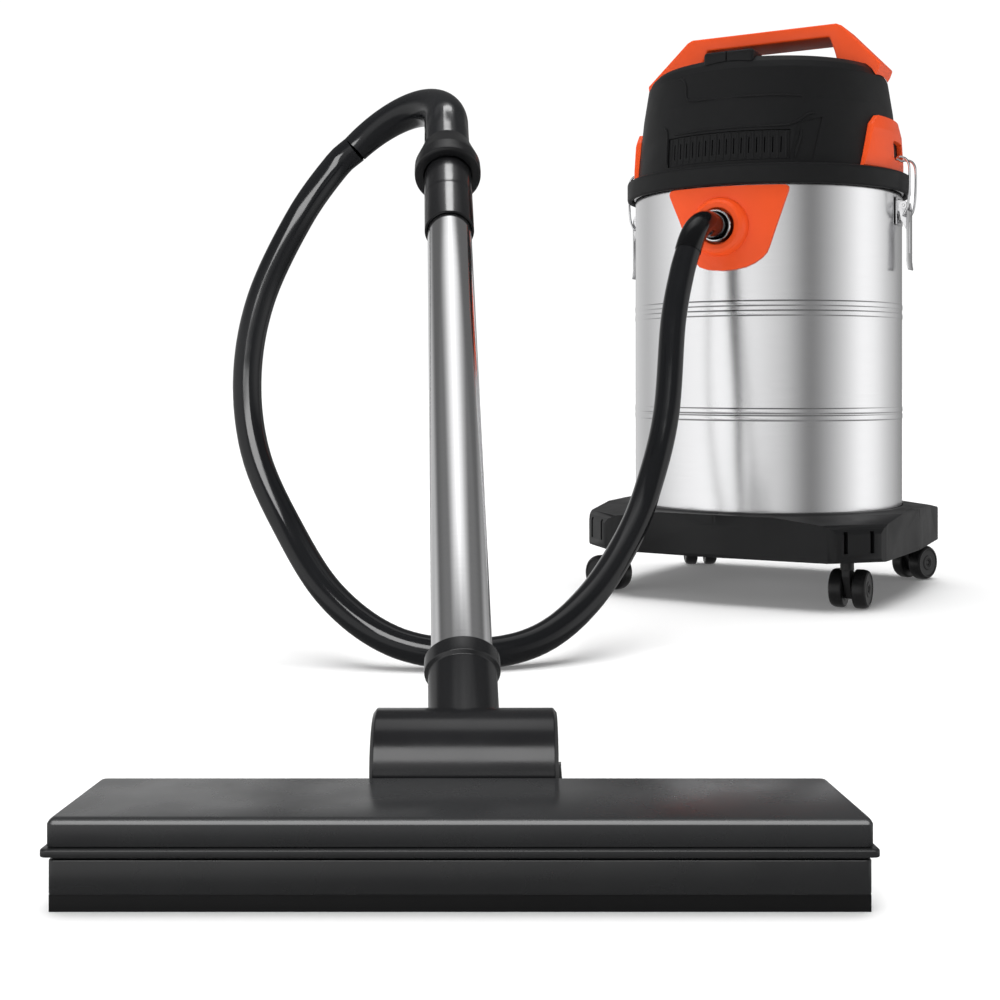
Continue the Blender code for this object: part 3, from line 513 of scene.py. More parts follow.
# Brightness of the studio round the object by azimuth in degrees, from the camera's side (0) to the right
SURROUND = [
    (-180, 0.2), (-174, 0.2), (-162, 0.72), (-125, 0.49), (-105, 0.65), (-75, 0.98), (-50, 1.11), (-28, 1.08),
    (-7, 0.87), (15, 0.62), (25, 0.38), (36, 0.14), (48, 0.33), (60, 0.55), (72, 0.81), (86, 1.14),
    (101, 1.02), (120, 0.65), (147, 0.33), (180, 0.2),
]
SURROUND_TURN = 100.4
SURROUND_PEAK = 1.2
CEILING_DARK = 0.13
CEILING_STRIP = [(0.0, 1.35), (0.05, 1.25), (0.11, 1.0), (0.25, 0.72), (0.34, 0.42), (0.5, 0.05)]
BELOW = 0.22


class World(Tree):
    """Node building for the studio surround."""

    def maths(self, operation, one, two=0.0):
        made = self.add("Math", {"operation": operation})
        self.feed(made.inputs[0], one)
        self.feed(made.inputs[1], two)
        return made.outputs[0]

    def fade(self, value, start, end):
        smoothstep = {"interpolation_type": "SMOOTHSTEP"}
        return self.add("MapRange", smoothstep, Value=value, From_Min=start, From_Max=end).outputs["Result"]

    def curve(self, value, stops, peak):
        """The value looked up in (place 0..1, brightness) stops."""
        ramp = self.add("ValToRGB", Fac=value)
        band = ramp.color_ramp
        while len(band.elements) < len(stops):
            band.elements.new(0.5)
        for element, (place, bright) in zip(band.elements, stops):
            element.position = place
            element.color = (bright / peak, bright / peak, bright / peak, 1)
        return self.maths("MULTIPLY", ramp.outputs["Color"], peak)

    def blend(self, one, two, by):
        """one where by is 0 and two where it is 1."""
        keep_one = self.maths("MULTIPLY", one, self.maths("SUBTRACT", 1.0, by))
        return self.maths("ADD", keep_one, self.maths("MULTIPLY", two, by))


def make_surround(scene):
    """Soft studio walls of uneven brightness, a strip light overhead, and plain white for the camera."""
    scene.world = bpy.data.worlds.new("studio")
    scene.world.use_nodes = True
    world = World(scene.world.node_tree)
    way = world.add("TexCoord").outputs["Generated"]
    turned_way = world.add("Mapping", Vector=way, Rotation=(0, 0, radians(SURROUND_TURN))).outputs["Vector"]
    parts = world.add("SeparateXYZ", Vector=turned_way).outputs
    azimuth = world.maths("ARCTAN2", parts["Y"], parts["X"])
    around = world.maths("ADD", world.maths("DIVIDE", azimuth, tau), 0.5)
    walls = world.curve(around, [(a / 360 + 0.5, bright) for a, bright in SURROUND], SURROUND_PEAK)
    straight = world.add("SeparateXYZ", Vector=way)
    x, y, z = (straight.outputs[axis] for axis in "XYZ")
    sky = world.blend(walls, CEILING_DARK, world.fade(z, 0.2, 0.48))
    strip = world.curve(world.maths("ABSOLUTE", x), CEILING_STRIP, CEILING_STRIP[0][1])
    strip = world.maths("MULTIPLY", strip, world.maths("SUBTRACT", 1.0, world.fade(y, 0.38, 0.5)))
    strip = world.maths("MULTIPLY", strip, world.fade(y, -0.16, 0.02))
    sky = world.maths("ADD", sky, world.maths("MULTIPLY", strip, world.fade(z, 0.45, 0.75)))
    sky = world.blend(sky, BELOW, world.fade(world.maths("MULTIPLY", z, -1.0), 0.15, 0.4))
    studio = world.fill(world.nodes["Background"], Color=(1, 1, 1, 1), Strength=sky)
    backdrop = world.add("Background", Color=(1, 1, 1, 1), Strength=1.05)
    mix = world.add("MixShader", Fac=world.add("LightPath").outputs["Is Camera Ray"])
    world.feed(mix.inputs[1], studio.outputs["Background"])
    world.feed(mix.inputs[2], backdrop.outputs["Background"])
    world.fill(world.nodes["World Output"], Surface=mix.outputs["Shader"])


def make_stage():
    """Camera, white floor, studio surround, a broad soft light from above and a softbox on the left."""
    scene = bpy.context.scene
    scene.view_settings.view_transform = "Standard"
    camera = put("camera", bpy.data.cameras.new("camera"))
    camera.location = CAMERA_AT
    camera.rotation_euler = (pi / 2, 0, 0)
    camera.data.lens = LENS
    camera.data.shift_y = CAMERA_SHIFT
    scene.camera = camera
    make_surround(scene)

    floor = bpy.data.meshes.new("floor")
    reach = 30
    corners = [(-reach, -reach, 0), (reach, -reach, 0), (reach, reach, 0), (-reach, reach, 0)]
    floor.from_pydata(corners, [], [(0, 1, 2, 3)])
    white = Look("floor_white", (0.93, 0.93, 0.93), 0.85)
    white.vary_roughness(white.noise(6, detail=3), 0.04)
    white.fill(white.shader, Emission_Color=(1, 1, 1, 1), Emission_Strength=0.1)
    floor.materials.append(white.material)
    made = put("floor", floor)
    made.visible_glossy = False

    overhead = bpy.data.lights.new("overhead", "SUN")
    overhead.energy = SUN_STRENGTH
    overhead.angle = radians(60)
    add_light(overhead, (0, 0, 3), (0, 0, 0))
    softbox("softbox_left", (-1.95, -1.75, 1.15), (0.157, 0.43, 0.3), (2.9, 2.3), SOFTBOX_WATTS)


def softbox(name, at, aim, size, watts):
    light = bpy.data.lights.new(name, "AREA")
    light.shape = "RECTANGLE"
    light.size, light.size_y = size
    light.energy = watts
    return add_light(light, at, aim)


def add_light(light, at, aim):
    """A light that shines on everything but shows in no reflection."""
    made = put(light.name, light)
    made.location = at
    made.rotation_euler = (Vector(aim) - Vector(at)).to_track_quat("-Z", "Y").to_euler()
    made.visible_glossy = False
    return made


def gloss_light(name, at, aim, size, watts, *pieces):
    """A softbox whose reflection draws the highlights of glossy black pieces and lights nothing else."""
    made = softbox(name, at, aim, size, watts)
    made.visible_glossy = True
    made.light_linking.receiver_collection = bpy.data.collections.new(name)
    for piece in pieces:
        made.light_linking.receiver_collection.objects.link(bpy.data.objects[piece])


def make_gloss_lights():
    nozzle = ("nozzle_cover_fine", "nozzle_bumper_fine", "nozzle_base_fine", "nozzle_neck_fine")
    gloss_light("gloss_nozzle", (-0.17, -2.35, 1.08), (-0.17, -0.6, 0.05), (2.4, 1.1), 36, *nozzle)
    hose = ("hose_fine", "hose_handle_fine")
    gloss_light("gloss_hose", (-0.42, -1.65, 1.28), (-0.39, 0.02, 0.19), (1.6, 0.9), 62, *hose)
    gloss_light("gloss_edge", (-0.17, -1.25, 1.9), (-0.17, -0.65, 0.04), (2.6, 1.9), 110, "nozzle_cover_fine")
    wand = ("wand_sleeve_fine", "hose_handle_fine")
    gloss_light("gloss_wand", (-0.19, -0.05, 2.2), (-0.19, -0.05, 0.2), (0.62, 1.35), 24, *wand)


# ---- hose and wand


def handle_line(steps):
    way = (WAND.to_3x3() @ Vector((0, 0, 1))).normalized()
    start, corner = WAND @ Vector((0, 0, HANDLE_START)), WAND @ Vector((0, 0, HANDLE_BEND_AT))
    straight = [start + (corner - start) * i / 10 for i in range(10)]
    return straight + bend(corner, way, HANDLE_END_WAY, HANDLE_BEND_R, steps)


def cuff_line(steps):
    start = Vector((0, -0.152, INLET_HEIGHT))
    corner = Vector((0, -CUFF_STRAIGHT, INLET_HEIGHT))
    bent = bend(corner, Vector((0, -1, 0)), CUFF_END_WAY, CUFF_BEND_R, steps)
    return [CANISTER @ p for p in [start] + bent]


def make_hose():
    handle, cuff = handle_line(9), cuff_line(8)
    leave = (handle[-1] - handle[-2]).normalized()
    arrive = (cuff[-1] - cuff[-2]).normalized()
    first, last = handle[-1], cuff[-1]
    route = [first, first + leave * 0.025] + HOSE_ROUTE + [last + arrive * 0.03, last]
    line = smooth_line(route, 0.0075)
    radii = [HOSE_R + JOIN_STEP * max(0, 1 - i / 4) for i in range(len(line))]
    hose = tube("hose_fine", line, radii, "hose", around=36)
    stand_for(hose, "canister")


def make_hose_handle():
    """The bent pipe at the wand's top: flutes to grip, then a smooth taper that ends flush with the hose."""
    line = handle_line(36)
    count = len(line)
    end_r = HOSE_R + JOIN_STEP
    radii = [HANDLE_R + (end_r - HANDLE_R) * max(0, i - 10) / (count - 11) for i in range(count)]

    def flute(i, t):
        grip = max(0, 1 - abs(i - 7.5) / 3.5)
        return 1 - 0.03 * grip * (0.5 + 0.5 * cos(12 * t))

    inner = [r - 0.003 for r in radii]
    made = tube("hose_handle_fine", line, radii, "hose", around=72, inner=inner, flute=flute)
    stand_for(made, "canister")


def make_cuff():
    line = cuff_line(28)
    line = [line[0] + (line[1] - line[0]) * i / 6 for i in range(6)] + line[1:]
    bore, outside = CUFF_R
    made = tube("inlet_cuff_fine", line, [outside] * len(line), "hose", around=40, inner=[bore] * len(line))
    stand_for(made, "canister")


def make_wand():
    tube_profile = [(0.018, 0.0505), (0.018, 0.556), (0.0162, 0.556), (0.0162, 0.0505)]
    stand_for(turned("wand_tube_fine", tube_profile, "wand", WAND, 0.0004, 96), "canister")
    sleeve = [
        (0.0184, 0.515), (0.0203, 0.515), (0.0203, 0.56), (0.0199, 0.562), (0.0203, 0.564),
        (0.0203, 0.598), (0.0197, 0.599), (0.0197, 0.6442), (0.015, 0.6442), (0.015, 0.5565),
        (0.0184, 0.5565),
    ]
    stand_for(turned("wand_sleeve_fine", sleeve, "fitting", WAND, 0.0006, 72), "canister")
    cup = [
        (0.0204, 0.6), (0.0262, 0.6), (0.0285, 0.6012), (0.0287, 0.606), (0.0285, 0.615),
        (0.0262, 0.624), (0.0238, 0.633), (0.0222, 0.64), (0.0216, 0.642), (0.0204, 0.642),
    ]
    stand_for(turned("swivel_collar_fine", cup, "fitting", WAND, 0.0012, 72), "collar")


def make_neck():
    """Hinge barrel and wand pipe in one moulding, with a stepped mouth round the wand."""
    pipe = [(0, -0.004), (0.02, -0.004), (0.02, 0.0585), (0.0221, 0.0605), (0.0221, 0.07), (0, 0.07)]
    neck = turned("nozzle_neck_fine", pipe, "fitting", WAND, 0.0008, 72)
    barrel = [(0, -0.05), (0.0262, -0.05), (0.0287, -0.048), (0.0287, 0.048), (0.0262, 0.05), (0, 0.05)]
    join(neck, turned("barrel", barrel, None, HINGE_ACROSS, 0.0012, 96))
    bore = [(0, 0.08), (0.0184, 0.08), (0.0184, 0.05), (0.015, 0.05), (0.015, 0), (0, 0)]
    cavity = rod(0.0225, -0.024, 0.024, HINGE_ACROSS, 48)
    mouth = box((-0.018, -0.04, -0.04), (0.018, -0.004, -0.01), HINGE)
    cut(neck, turned("bore", bore, None, WAND, 0, 48), cavity, mouth)
    bevel(neck, 0.0009, 3, 50)
    stand_for(neck, "canister")


# ---- nozzle


def loft(name, levels, look, edge=0.0006):
    """A nozzle piece through plan outlines at their heights, with flat ends."""
    shape = bmesh.new()
    rings = [[shape.verts.new((x, y, z)) for x, y in plan] for z, plan in levels]
    for one, two in zip(rings, rings[1:]):
        skin(shape, one, two)
    shape.faces.new(rings[0])
    shape.faces.new(rings[-1])
    return solid(shape, name, look, NOZZLE, edge, 2, 30)


def nozzle_plan(inset, y_front, y_back):
    """Plan outline of the nozzle: slightly narrower at the back, with small round corners."""
    front, back = 0.1965 - inset, 0.19 - inset
    return filleted([(-front, y_front), (front, y_front), (back, y_back), (-back, y_back)], 0.003, 5)


def make_nozzle():
    depth = 0.0735
    insets = [(0.0318, 0.0, 0.0), (0.0425, 0.0, 0.0), (0.0438, 0.0006, 0.0012), (0.0447, 0.0016, 0.0034)]
    levels = [(z, nozzle_plan(inset, front, depth - inset)) for z, inset, front in insets]
    cover = loft("nozzle_cover_fine", levels, "nozzle")
    hollow = nozzle_plan(0.004, 0.004, depth - 0.004)
    cut(cover, loft("hollow", [(0.02, hollow), (0.0415, hollow)], None, 0))
    stand_for(cover, "nozzle")

    recess, lip = nozzle_plan(0.001, 0.0015, depth - 0.012), nozzle_plan(-0.0025, -0.003, depth - 0.01)
    levels = [(0.0256, recess), (0.0274, recess), (0.0276, lip), (0.0315, lip)]
    bumper = loft("nozzle_bumper_fine", levels, "nozzle", 0)
    cut(bumper, box((-0.184, 0.009, 0), (0.184, 0.2, 0.1), NOZZLE))
    bevel(bumper, 0.0014, 4)
    stand_for(bumper, "nozzle", slot="seal_rubber")

    plan = nozzle_plan(0.0005, 0.001, depth)
    base = loft("nozzle_base_fine", [(0.0088, plan), (0.0253, plan)], "nozzle")
    bridge = box((-0.053, 0.068, 0.0091), (0.053, 0.092, 0.025), NOZZLE)
    join(base, cut(bridge, rod(0.0298, -0.08, 0.08, HINGE_ACROSS, 96)))
    start, end = radians(222), radians(345)
    saddle = arc(HINGE_SECTION, 0.033, start, end, 40) + arc(HINGE_SECTION, 0.0292, end, start, 40)
    join(base, slab("saddle", saddle, 0.107, None, upright(NOZZLE, "X"), 0))
    cheek = arc(HINGE_SECTION, 0.032, start, end, 30)
    for side in (-1, 1):
        end_at = upright(NOZZLE @ shift(side * 0.052, 0, 0), "X")
        join(base, slab("saddle_end", cheek, 0.0028, None, end_at, 0))
    cut(
        base,
        box((-0.178, 0.014, -0.01), (0.178, 0.046, 0.0215), NOZZLE),
        box((-0.018, 0.04, 0.0112), (0.018, 0.092, 0.0222), NOZZLE),
    )
    bevel(base, 0.0005, 2, 50)
    stand_for(base, "nozzle")

    side = [(0.003, 0.0084), (0.003, 0.0), (0.0068, 0.0), (0.0075, 0.003), (0.0075, 0.0084)]
    stand_for(slab("nozzle_lip_fine", side, 0.3915, "rubber", upright(NOZZLE, "X"), 0.0003, 2), "nozzle")
    stand_for(bristles("nozzle_brush_fine", 0.36, 0.056, 0.064, 0.0084), "nozzle")


def bristles(name, width, y_low, y_high, height):
    """A strip of tufts: a holder bar with three rows of thin tapered bristle bundles under it."""
    low, high = (-width / 2, y_low, height - 0.0022), (width / 2, y_high, height)
    holder = block(name, low, high, "rubber", NOZZLE, 0.0004)
    shape = bmesh.new()
    shape.from_mesh(holder.data)
    count, length = int(width / 0.0042), height - 0.002
    for row in range(3):
        for i in range(count):
            x = -width / 2 + (i + 0.5 + 0.25 * (row % 2)) * width / (count + 0.5)
            y = y_low + (row + 0.5) * (y_high - y_low) / 3
            lean = 0.0004 * sin(12.9 * i + 4.1 * row)
            tuft = bmesh.ops.create_cone(
                shape, cap_ends=True, segments=6, radius1=0.0009, radius2=0.0012, depth=length
            )
            bmesh.ops.translate(shape, vec=(x + lean, y, length / 2), verts=tuft["verts"])
    shape.to_mesh(holder.data)
    shape.free()
    return holder


# ---- canister


def bead_line(r, height):
    """A pressed half-round bead from its top to its bottom, with a flat rest beyond each end."""
    half, rest = 0.0034, 0.0005
    curve = [(r + BEAD_RISE * sin(pi * i / 6), height + half * cos(pi * i / 6)) for i in range(7)]
    return [(r, height + half + rest)] + curve + [(r, height - half - rest)]


def make_drum():
    """Rolled rim, two pressed double beads and a curled bottom, all in thin sheet."""
    outer, inner = [], []
    rim = arc((0.1606, DRUM_TOP - 0.0024), 0.0024, radians(175), radians(-80), 12)
    for height in DRUM_BEADS:
        outer += bead_line(DRUM_R, height)
        inner += bead_line(DRUM_R - DRUM_WALL, height)
    foot = arc((DRUM_R - 0.005, DRUM_BOTTOM + 0.005), 0.005, 0, -pi / 2, 6)
    heel = arc((DRUM_R - 0.005, DRUM_BOTTOM + 0.005), 0.005 - DRUM_WALL, 0, -pi / 2, 6)
    floor_in = [(0.06, DRUM_BOTTOM + 0.0012), (0.056, DRUM_BOTTOM + 0.0022), (0, DRUM_BOTTOM + 0.0022)]
    floor_out = [(0, DRUM_BOTTOM + 0.001), (0.055, DRUM_BOTTOM + 0.001), (0.06, DRUM_BOTTOM)]
    wall = [(DRUM_R, DRUM_TOP - 0.0052), (DRUM_R, DRUM_TOP - 0.006), *outer, (DRUM_R, DRUM_BOTTOM + 0.0058)]
    profile = rim + wall + foot + floor_out[::-1] + floor_in[::-1]
    profile += heel[::-1] + inner[::-1] + [(DRUM_R - DRUM_WALL, DRUM_TOP - 0.006)]
    drum = turned("drum_fine", profile, "drum", CANISTER, 0, 160)
    cut(drum, rod(0.0174, 0.14, 0.18, INLET, 48))
    smooth(drum.data, 40)
    stand_for(drum, "canister", "drum_shell")


def spoke(name):
    """Frame of a caster lobe, +X outward, from where the CAD's swivel joint is."""
    at = CANISTER.inverted() @ Vector(joints[name + "_swivel"]["pos_m"])
    return CANISTER @ spin(atan2(at.y, at.x), "Z"), hypot(at.x, at.y)


def swivel_frame(name):
    """Frame of a caster, +X along its trail, from where the CAD's swivel and wheel joints are."""
    at = Vector(joints[name + "_swivel"]["pos_m"])
    trail = Vector(joints[name + "_spin_left"]["pos_m"]) - at
    return shift(at.x, at.y, 0) @ spin(atan2(trail.y, trail.x), "Z")


def make_dolly():
    """Deep ring with four lobes that flow out of it, each with two slots over its caster."""
    bottom, top, outside = 0.0535, 0.103, 0.185
    ring = [
        (0.159, top), (0.168, top), (0.1765, top - 0.0025), (outside - 0.002, top - 0.008),
        (outside, top - 0.013), (outside, 0.057), (outside - 0.002, bottom), (0.177, bottom),
        (0.175, 0.07), (0.06, 0.07), (0.06, 0.08), (0.159, 0.08),
    ]
    dolly = turned("dolly_fine", ring, "dolly", CANISTER, 0.0022, 144)
    side = [(0.12, bottom + 0.0003), (0.218, bottom + 0.0003), (0.221, bottom + 0.004), (0.221, 0.085)]
    side += [(0.2185, 0.0905), (0.2125, 0.0945), (0.176, 0.1012), (0.12, 0.1015)]
    half = [(0.1285, 0.1332), (0.2085, 0.0445), (0.216, 0.036), (0.222, 0.025)]
    plan = filleted([(0.08, 0.0)] + half + [(x, -y) for x, y in reversed(half)], 0.004, 4)
    for name in CASTERS:
        where = spoke(name)[0]
        lobe = slab(name + "_lobe", filleted(side, 0.0025, 4), 0.3, None, upright(where), 0)
        keep(lobe, slab("plan", plan, 0.2, None, where @ shift(0, 0, 0.1), 0))
        join(dolly, lobe)
    cut(dolly, rod(0.1612, 0.2, 0.0775, CANISTER, 144), rod(0.175, 0.04, 0.0699, CANISTER, 144))
    for name in CASTERS:
        where, reach = spoke(name)
        at = where @ shift(reach, 0, 0)
        slots = [box((0.209, y - 0.0024, 0.064), (0.23, y + 0.0024, 0.088), where) for y in (-0.016, 0.016)]
        cut(dolly, *slots)
        join(dolly, rod(0.011, 0.054, 0.0745, at, 48))
        cut(dolly, rod(0.0052, 0.05, 0.0801, at, 32))
    bevel(dolly, 0.0014, 3, 50)
    dolly.data.transform(dolly.matrix_world)
    dolly.matrix_world = Matrix.Identity(4)
    stand_for(dolly, "canister")


def make_caster(name):
    """Twin-wheel caster: web with stem and axle, and two wheels with rounded treads and ringed hubs."""
    swivel = swivel_frame(name)
    trail, wheel_r, inner = 0.015, 0.0215, 0.0048
    stem = [(0, 0.0795), (0.0038, 0.0795), (0.0045, 0.0785), (0.0045, 0.0529), (0.0075, 0.0526)]
    stem += [(0.0075, 0.0432), (0, 0.0432)]
    body = turned(name + "_fork_fine", stem, "caster", swivel, 0.0007, 40)
    web = [(-0.007, 0.048), (0.007, 0.048), (trail + 0.012, wheel_r + 0.006)]
    web += [(trail + 0.012, wheel_r - 0.006), (trail + 0.005, wheel_r - 0.012)]
    web += [(trail - 0.007, wheel_r - 0.011), (-0.007, 0.036)]
    join(body, slab("web", filleted(web, 0.004, 4), 0.0086, None, upright(swivel), 0.0011))
    axle_at = swivel @ shift(trail, 0, wheel_r)
    axle = [(0, -0.0193), (0.003, -0.0193), (0.003, 0.0193), (0, 0.0193)]
    join(body, turned("axle", axle, None, axle_at @ spin(pi / 2, "X"), 0.0004, 32))
    stand_for(body, name)
    wheel = [(0.0035, 0), (0.013, 0), (0.0145, 0.0006), (0.0192, 0.0006), (0.0211, 0.0018), (0.0215, 0.004)]
    wheel += [(0.0215, 0.009), (0.0211, 0.012), (0.0199, 0.0147), (0.0178, 0.016), (0.0167, 0.016)]
    wheel += [(0.016, 0.0152), (0.0092, 0.015), (0.0084, 0.0156), (0.0058, 0.0158), (0.005, 0.0152)]
    wheel += [(0.0035, 0.0152)]
    wheel = [(r, inner + out) for r, out in wheel]
    for side, turn in (("left", -pi / 2), ("right", pi / 2)):
        where = axle_at @ spin(turn, "X")
        made = turned(f"{name}_wheel_{side}_fine", wheel, "caster", where, 0.0009, 64)
        stand_for(made, f"{name}_wheel_{side}")


def make_inlet():
    """Shield with a raised round boss, its lock ring, and the socket behind it."""
    shell = [(0.1608, 0.4705), (0.1648, 0.4705), (0.1648, 0.36), (0.1608, 0.36)]
    cover = turned("inlet_cover_fine", shell, "orange", CANISTER, 0, 200)
    shield = [(-0.069, 0.47), (-0.0516, 0.4341), (-0.0345, 0.393), (-0.0247, 0.3797), (-0.014, 0.3762)]
    shield += [(0.0033, 0.3748), (0.017, 0.3758), (0.0297, 0.3784), (0.039, 0.3825), (0.0472, 0.3884)]
    shield += [(0.052, 0.394), (0.0545, 0.4), (0.0742, 0.4633), (0.0745, 0.4675), (0.0725, 0.4695)]
    shield_at = upright(CANISTER @ shift(0, -0.15, 0))
    keep(cover, slab("shield", filleted(shield, 0.006, 4), 0.1, None, shield_at, 0))
    bevel(cover, 0.0012, 4, 40)
    boss = [(0.034, 0.159), (0.0334, 0.1648), (0.032, 0.169), (0.0296, 0.1732), (0.0265, 0.1755)]
    boss += [(0.0215, 0.1755), (0.0205, 0.1748), (0.019, 0.159)]
    join(cover, turned("boss", boss, None, INLET, 0.0016, 96))
    cut(cover, rod(0.1607, 0.3, 0.5, CANISTER, 200), rod(0.0176, 0.13, 0.2, INLET, 64))
    stand_for(cover, "canister")
    ring = [(0.0152, 0.1772), (0.0152, 0.1792), (0.0162, 0.1804), (0.0176, 0.1804), (0.0184, 0.1792)]
    ring += [(0.0184, 0.1772)]
    made = turned("inlet_lock_ring_fine", ring, "latch", INLET, 0.0005, 72)
    notches = [INLET @ spin(tau * i / 12, "Z") for i in range(12)]
    cut(made, *[box((0.0179, -0.0007, 0.175), (0.02, 0.0007, 0.183), at) for at in notches])
    stand_for(made, "lock_ring")
    socket = [(0.0148, 0.146), (0.024, 0.146), (0.024, 0.149), (0.017, 0.1515), (0.017, 0.1765)]
    socket += [(0.0148, 0.1765)]
    stand_for(turned("inlet_socket_fine", socket, "fitting", INLET, 0.0006, 64), "canister")


def make_latch(hand):
    """Toggle latch: riveted bracket, pressed lever with rolled tail, wire bail, pin with peened ends."""
    where = LATCHES[hand]
    x, z = 0.169, 0.455
    low, high = (0.1606, -0.0145, 0.433), (0.1618, 0.0145, 0.466)
    bracket = block(f"latch_bracket_{hand}_fine", low, high, "latch", where, 0.0003)
    pin_at = where @ shift(x, 0, z) @ spin(pi / 2, "X")
    ear = [(0.161, z - 0.0075), (0.1718, z - 0.0045), (0.1718, z + 0.0045), (0.161, z + 0.0075)]
    rivet = [(0, 0.1612), (0.0021, 0.1612), (0.0021, 0.1622), (0.0012, 0.1628), (0, 0.1629)]
    for sign in (-1, 1):
        ear_at = upright(where @ shift(0, sign * 0.0093, 0))
        join(bracket, slab("ear", filleted(ear, 0.003, 4), 0.0014, None, ear_at, 0.0002, 1))
        for height in (0.4375, 0.4615):
            rivet_at = where @ shift(0, sign * 0.004, height) @ spin(pi / 2, "Y")
            join(bracket, turned("rivet", rivet, None, rivet_at, 0.0003, 24))
    cut(bracket, rod(0.0016, -0.02, 0.02, pin_at, 24))
    stand_for(bracket, "canister")

    face = [(0.0032, -0.006), (0.0045, -0.006), (0.0045, -0.064), (0.0052, -0.07), (0.0058, -0.074)]
    face += [(0.005, -0.075), (0.0038, -0.07), (0.0032, -0.064)]
    face = [(x + dx, z + dz) for dx, dz in face]
    lever = slab(f"latch_lever_{hand}_fine", face, 0.0238, "latch", upright(where), 0.0003, 2)
    cheek = [(-0.0045, 0.0042), (0.003, 0.0052), (0.0044, -0.005), (0.0044, -0.03), (0.002, -0.026)]
    cheek += [(-0.003, -0.017), (-0.0058, -0.001)]
    outline = filleted([(x + dx, z + dz) for dx, dz in cheek], 0.0025, 4)
    for sign in (-1, 1):
        cheek_at = upright(where @ shift(0, sign * 0.0112, 0))
        join(lever, slab("cheek", outline, 0.0013, None, cheek_at, 0.0002, 1))
    low, high = (x + 0.004, -0.003, z - 0.056), (x + 0.0052, 0.003, z - 0.018)
    join(lever, block("rib", low, high, None, where, 0.0005, 3))
    cut(lever, rod(0.0016, -0.02, 0.02, pin_at, 24))
    stand_for(lever, "latch_lever_" + hand)

    pin = [(0, -0.013), (0.0015, -0.013), (0.0018, -0.0126), (0.0018, -0.0122), (0.0012, -0.012)]
    pin += [(r, -along) for r, along in reversed(pin)]
    stand_for(turned(f"latch_pin_{hand}_fine", pin, "latch", pin_at, 0.0001, 24), "canister")

    bail_x, bail_z, y = 0.17, 0.443, 0.0155
    arm = [(bail_x, bail_z), (0.1745, bail_z + 0.01), (0.1765, 0.47), (0.1768, 0.495), (0.175, 0.5045)]
    arm += [(0.1705, 0.5095), (0.164, 0.5108)]
    route = [(bail_x, 0.0126, bail_z), (bail_x, y - 0.001, bail_z)] + [(px, y, pz) for px, pz in arm]
    route += [(0.16, y - 0.0015, 0.51), (0.16, 0.006, 0.51)]
    route += [(px, -py, pz) for px, py, pz in reversed(route)]
    line = smooth_line(route, 0.0012)
    bail = tube(f"latch_bail_{hand}_fine", line, [0.0014] * len(line), "latch", where, 14)
    stand_for(bail, "latch_bail_" + hand)


# ---- head


def cover_outside(grow=0.0):
    """The head cover's outer profile from its dished middle down, moved outward by grow."""
    dish = [(r - grow, z + grow) for r, z in COVER_PROFILE[:2]]
    return [(0, dish[0][1])] + dish + [(r + grow, z + grow) for r, z in COVER_PROFILE[2:]]


def cover_radius(z):
    """Outer radius of the head cover's side at a height."""
    side = COVER_PROFILE[:2:-1]
    for (r1, z1), (r2, z2) in zip(side, side[1:]):
        if z1 <= z <= z2:
            return r1 + (r2 - r1) * (z - z1) / (z2 - z1)
    return side[0][0]


def on_cover(angle, z, out):
    """A point on the cover's side, its angle in degrees from the front (-Y) towards +X."""
    r = cover_radius(z) + out
    return Vector((r * sin(radians(angle)), -r * cos(radians(angle)), z))


def make_head_cover():
    inside = [(r - COVER_SKIN, z - (COVER_SKIN if i < 4 else 0)) for i, (r, z) in enumerate(COVER_PROFILE)]
    inside = [(0, COVER_PROFILE[0][1] - COVER_SKIN)] + inside
    profile = filleted(cover_outside(), 0.006, 6, closed=False) + inside[::-1]
    cover = turned("head_cover_fine", profile, "head", CANISTER, 0, 180)
    window = box((-0.073, -0.18, 0.499), (0.073, -0.12, 0.533), CANISTER)
    switch_hole = box((-0.0115, -0.1295, 0.6), (0.0115, -0.1095, 0.64), CANISTER)
    gland = rod(0.0072, 0.13, 0.18, GLAND, 32)
    side = [(r, z) for r, z in reversed(COVER_PROFILE) if z < 0.57]
    recess = [(r - 0.0009, z) for r, z in side] + [(r + 0.01, z) for r, z in reversed(side)]
    recess = turned("recess", recess, None, CANISTER, 0, 180)
    strip = [(-0.0205, 0.499), (0.0068, 0.499), (0.02, 0.548), (-0.0093, 0.5405)]
    at = CANISTER @ spin(radians(35), "Z") @ shift(0, -0.15, 0)
    keep(recess, slab("strip", strip, 0.1, None, upright(at), 0))
    cut(cover, window, switch_hole, gland, recess)
    smooth(cover.data, 35)
    stand_for(cover, "head")


def make_ridges():
    """Raised moulded lines that lie on the cover, each thinner towards its ends."""
    for name, radius, points in RIDGES:
        line = smooth_line([on_cover(angle, z, 0.0001) for angle, z in points], 0.002)
        count = len(line)
        radii = [radius * min(1, 0.35 + min(i, count - 1 - i) / 3) for i in range(count)]
        stand_for(tube(name, line, radii, "head", CANISTER, 12), "head")


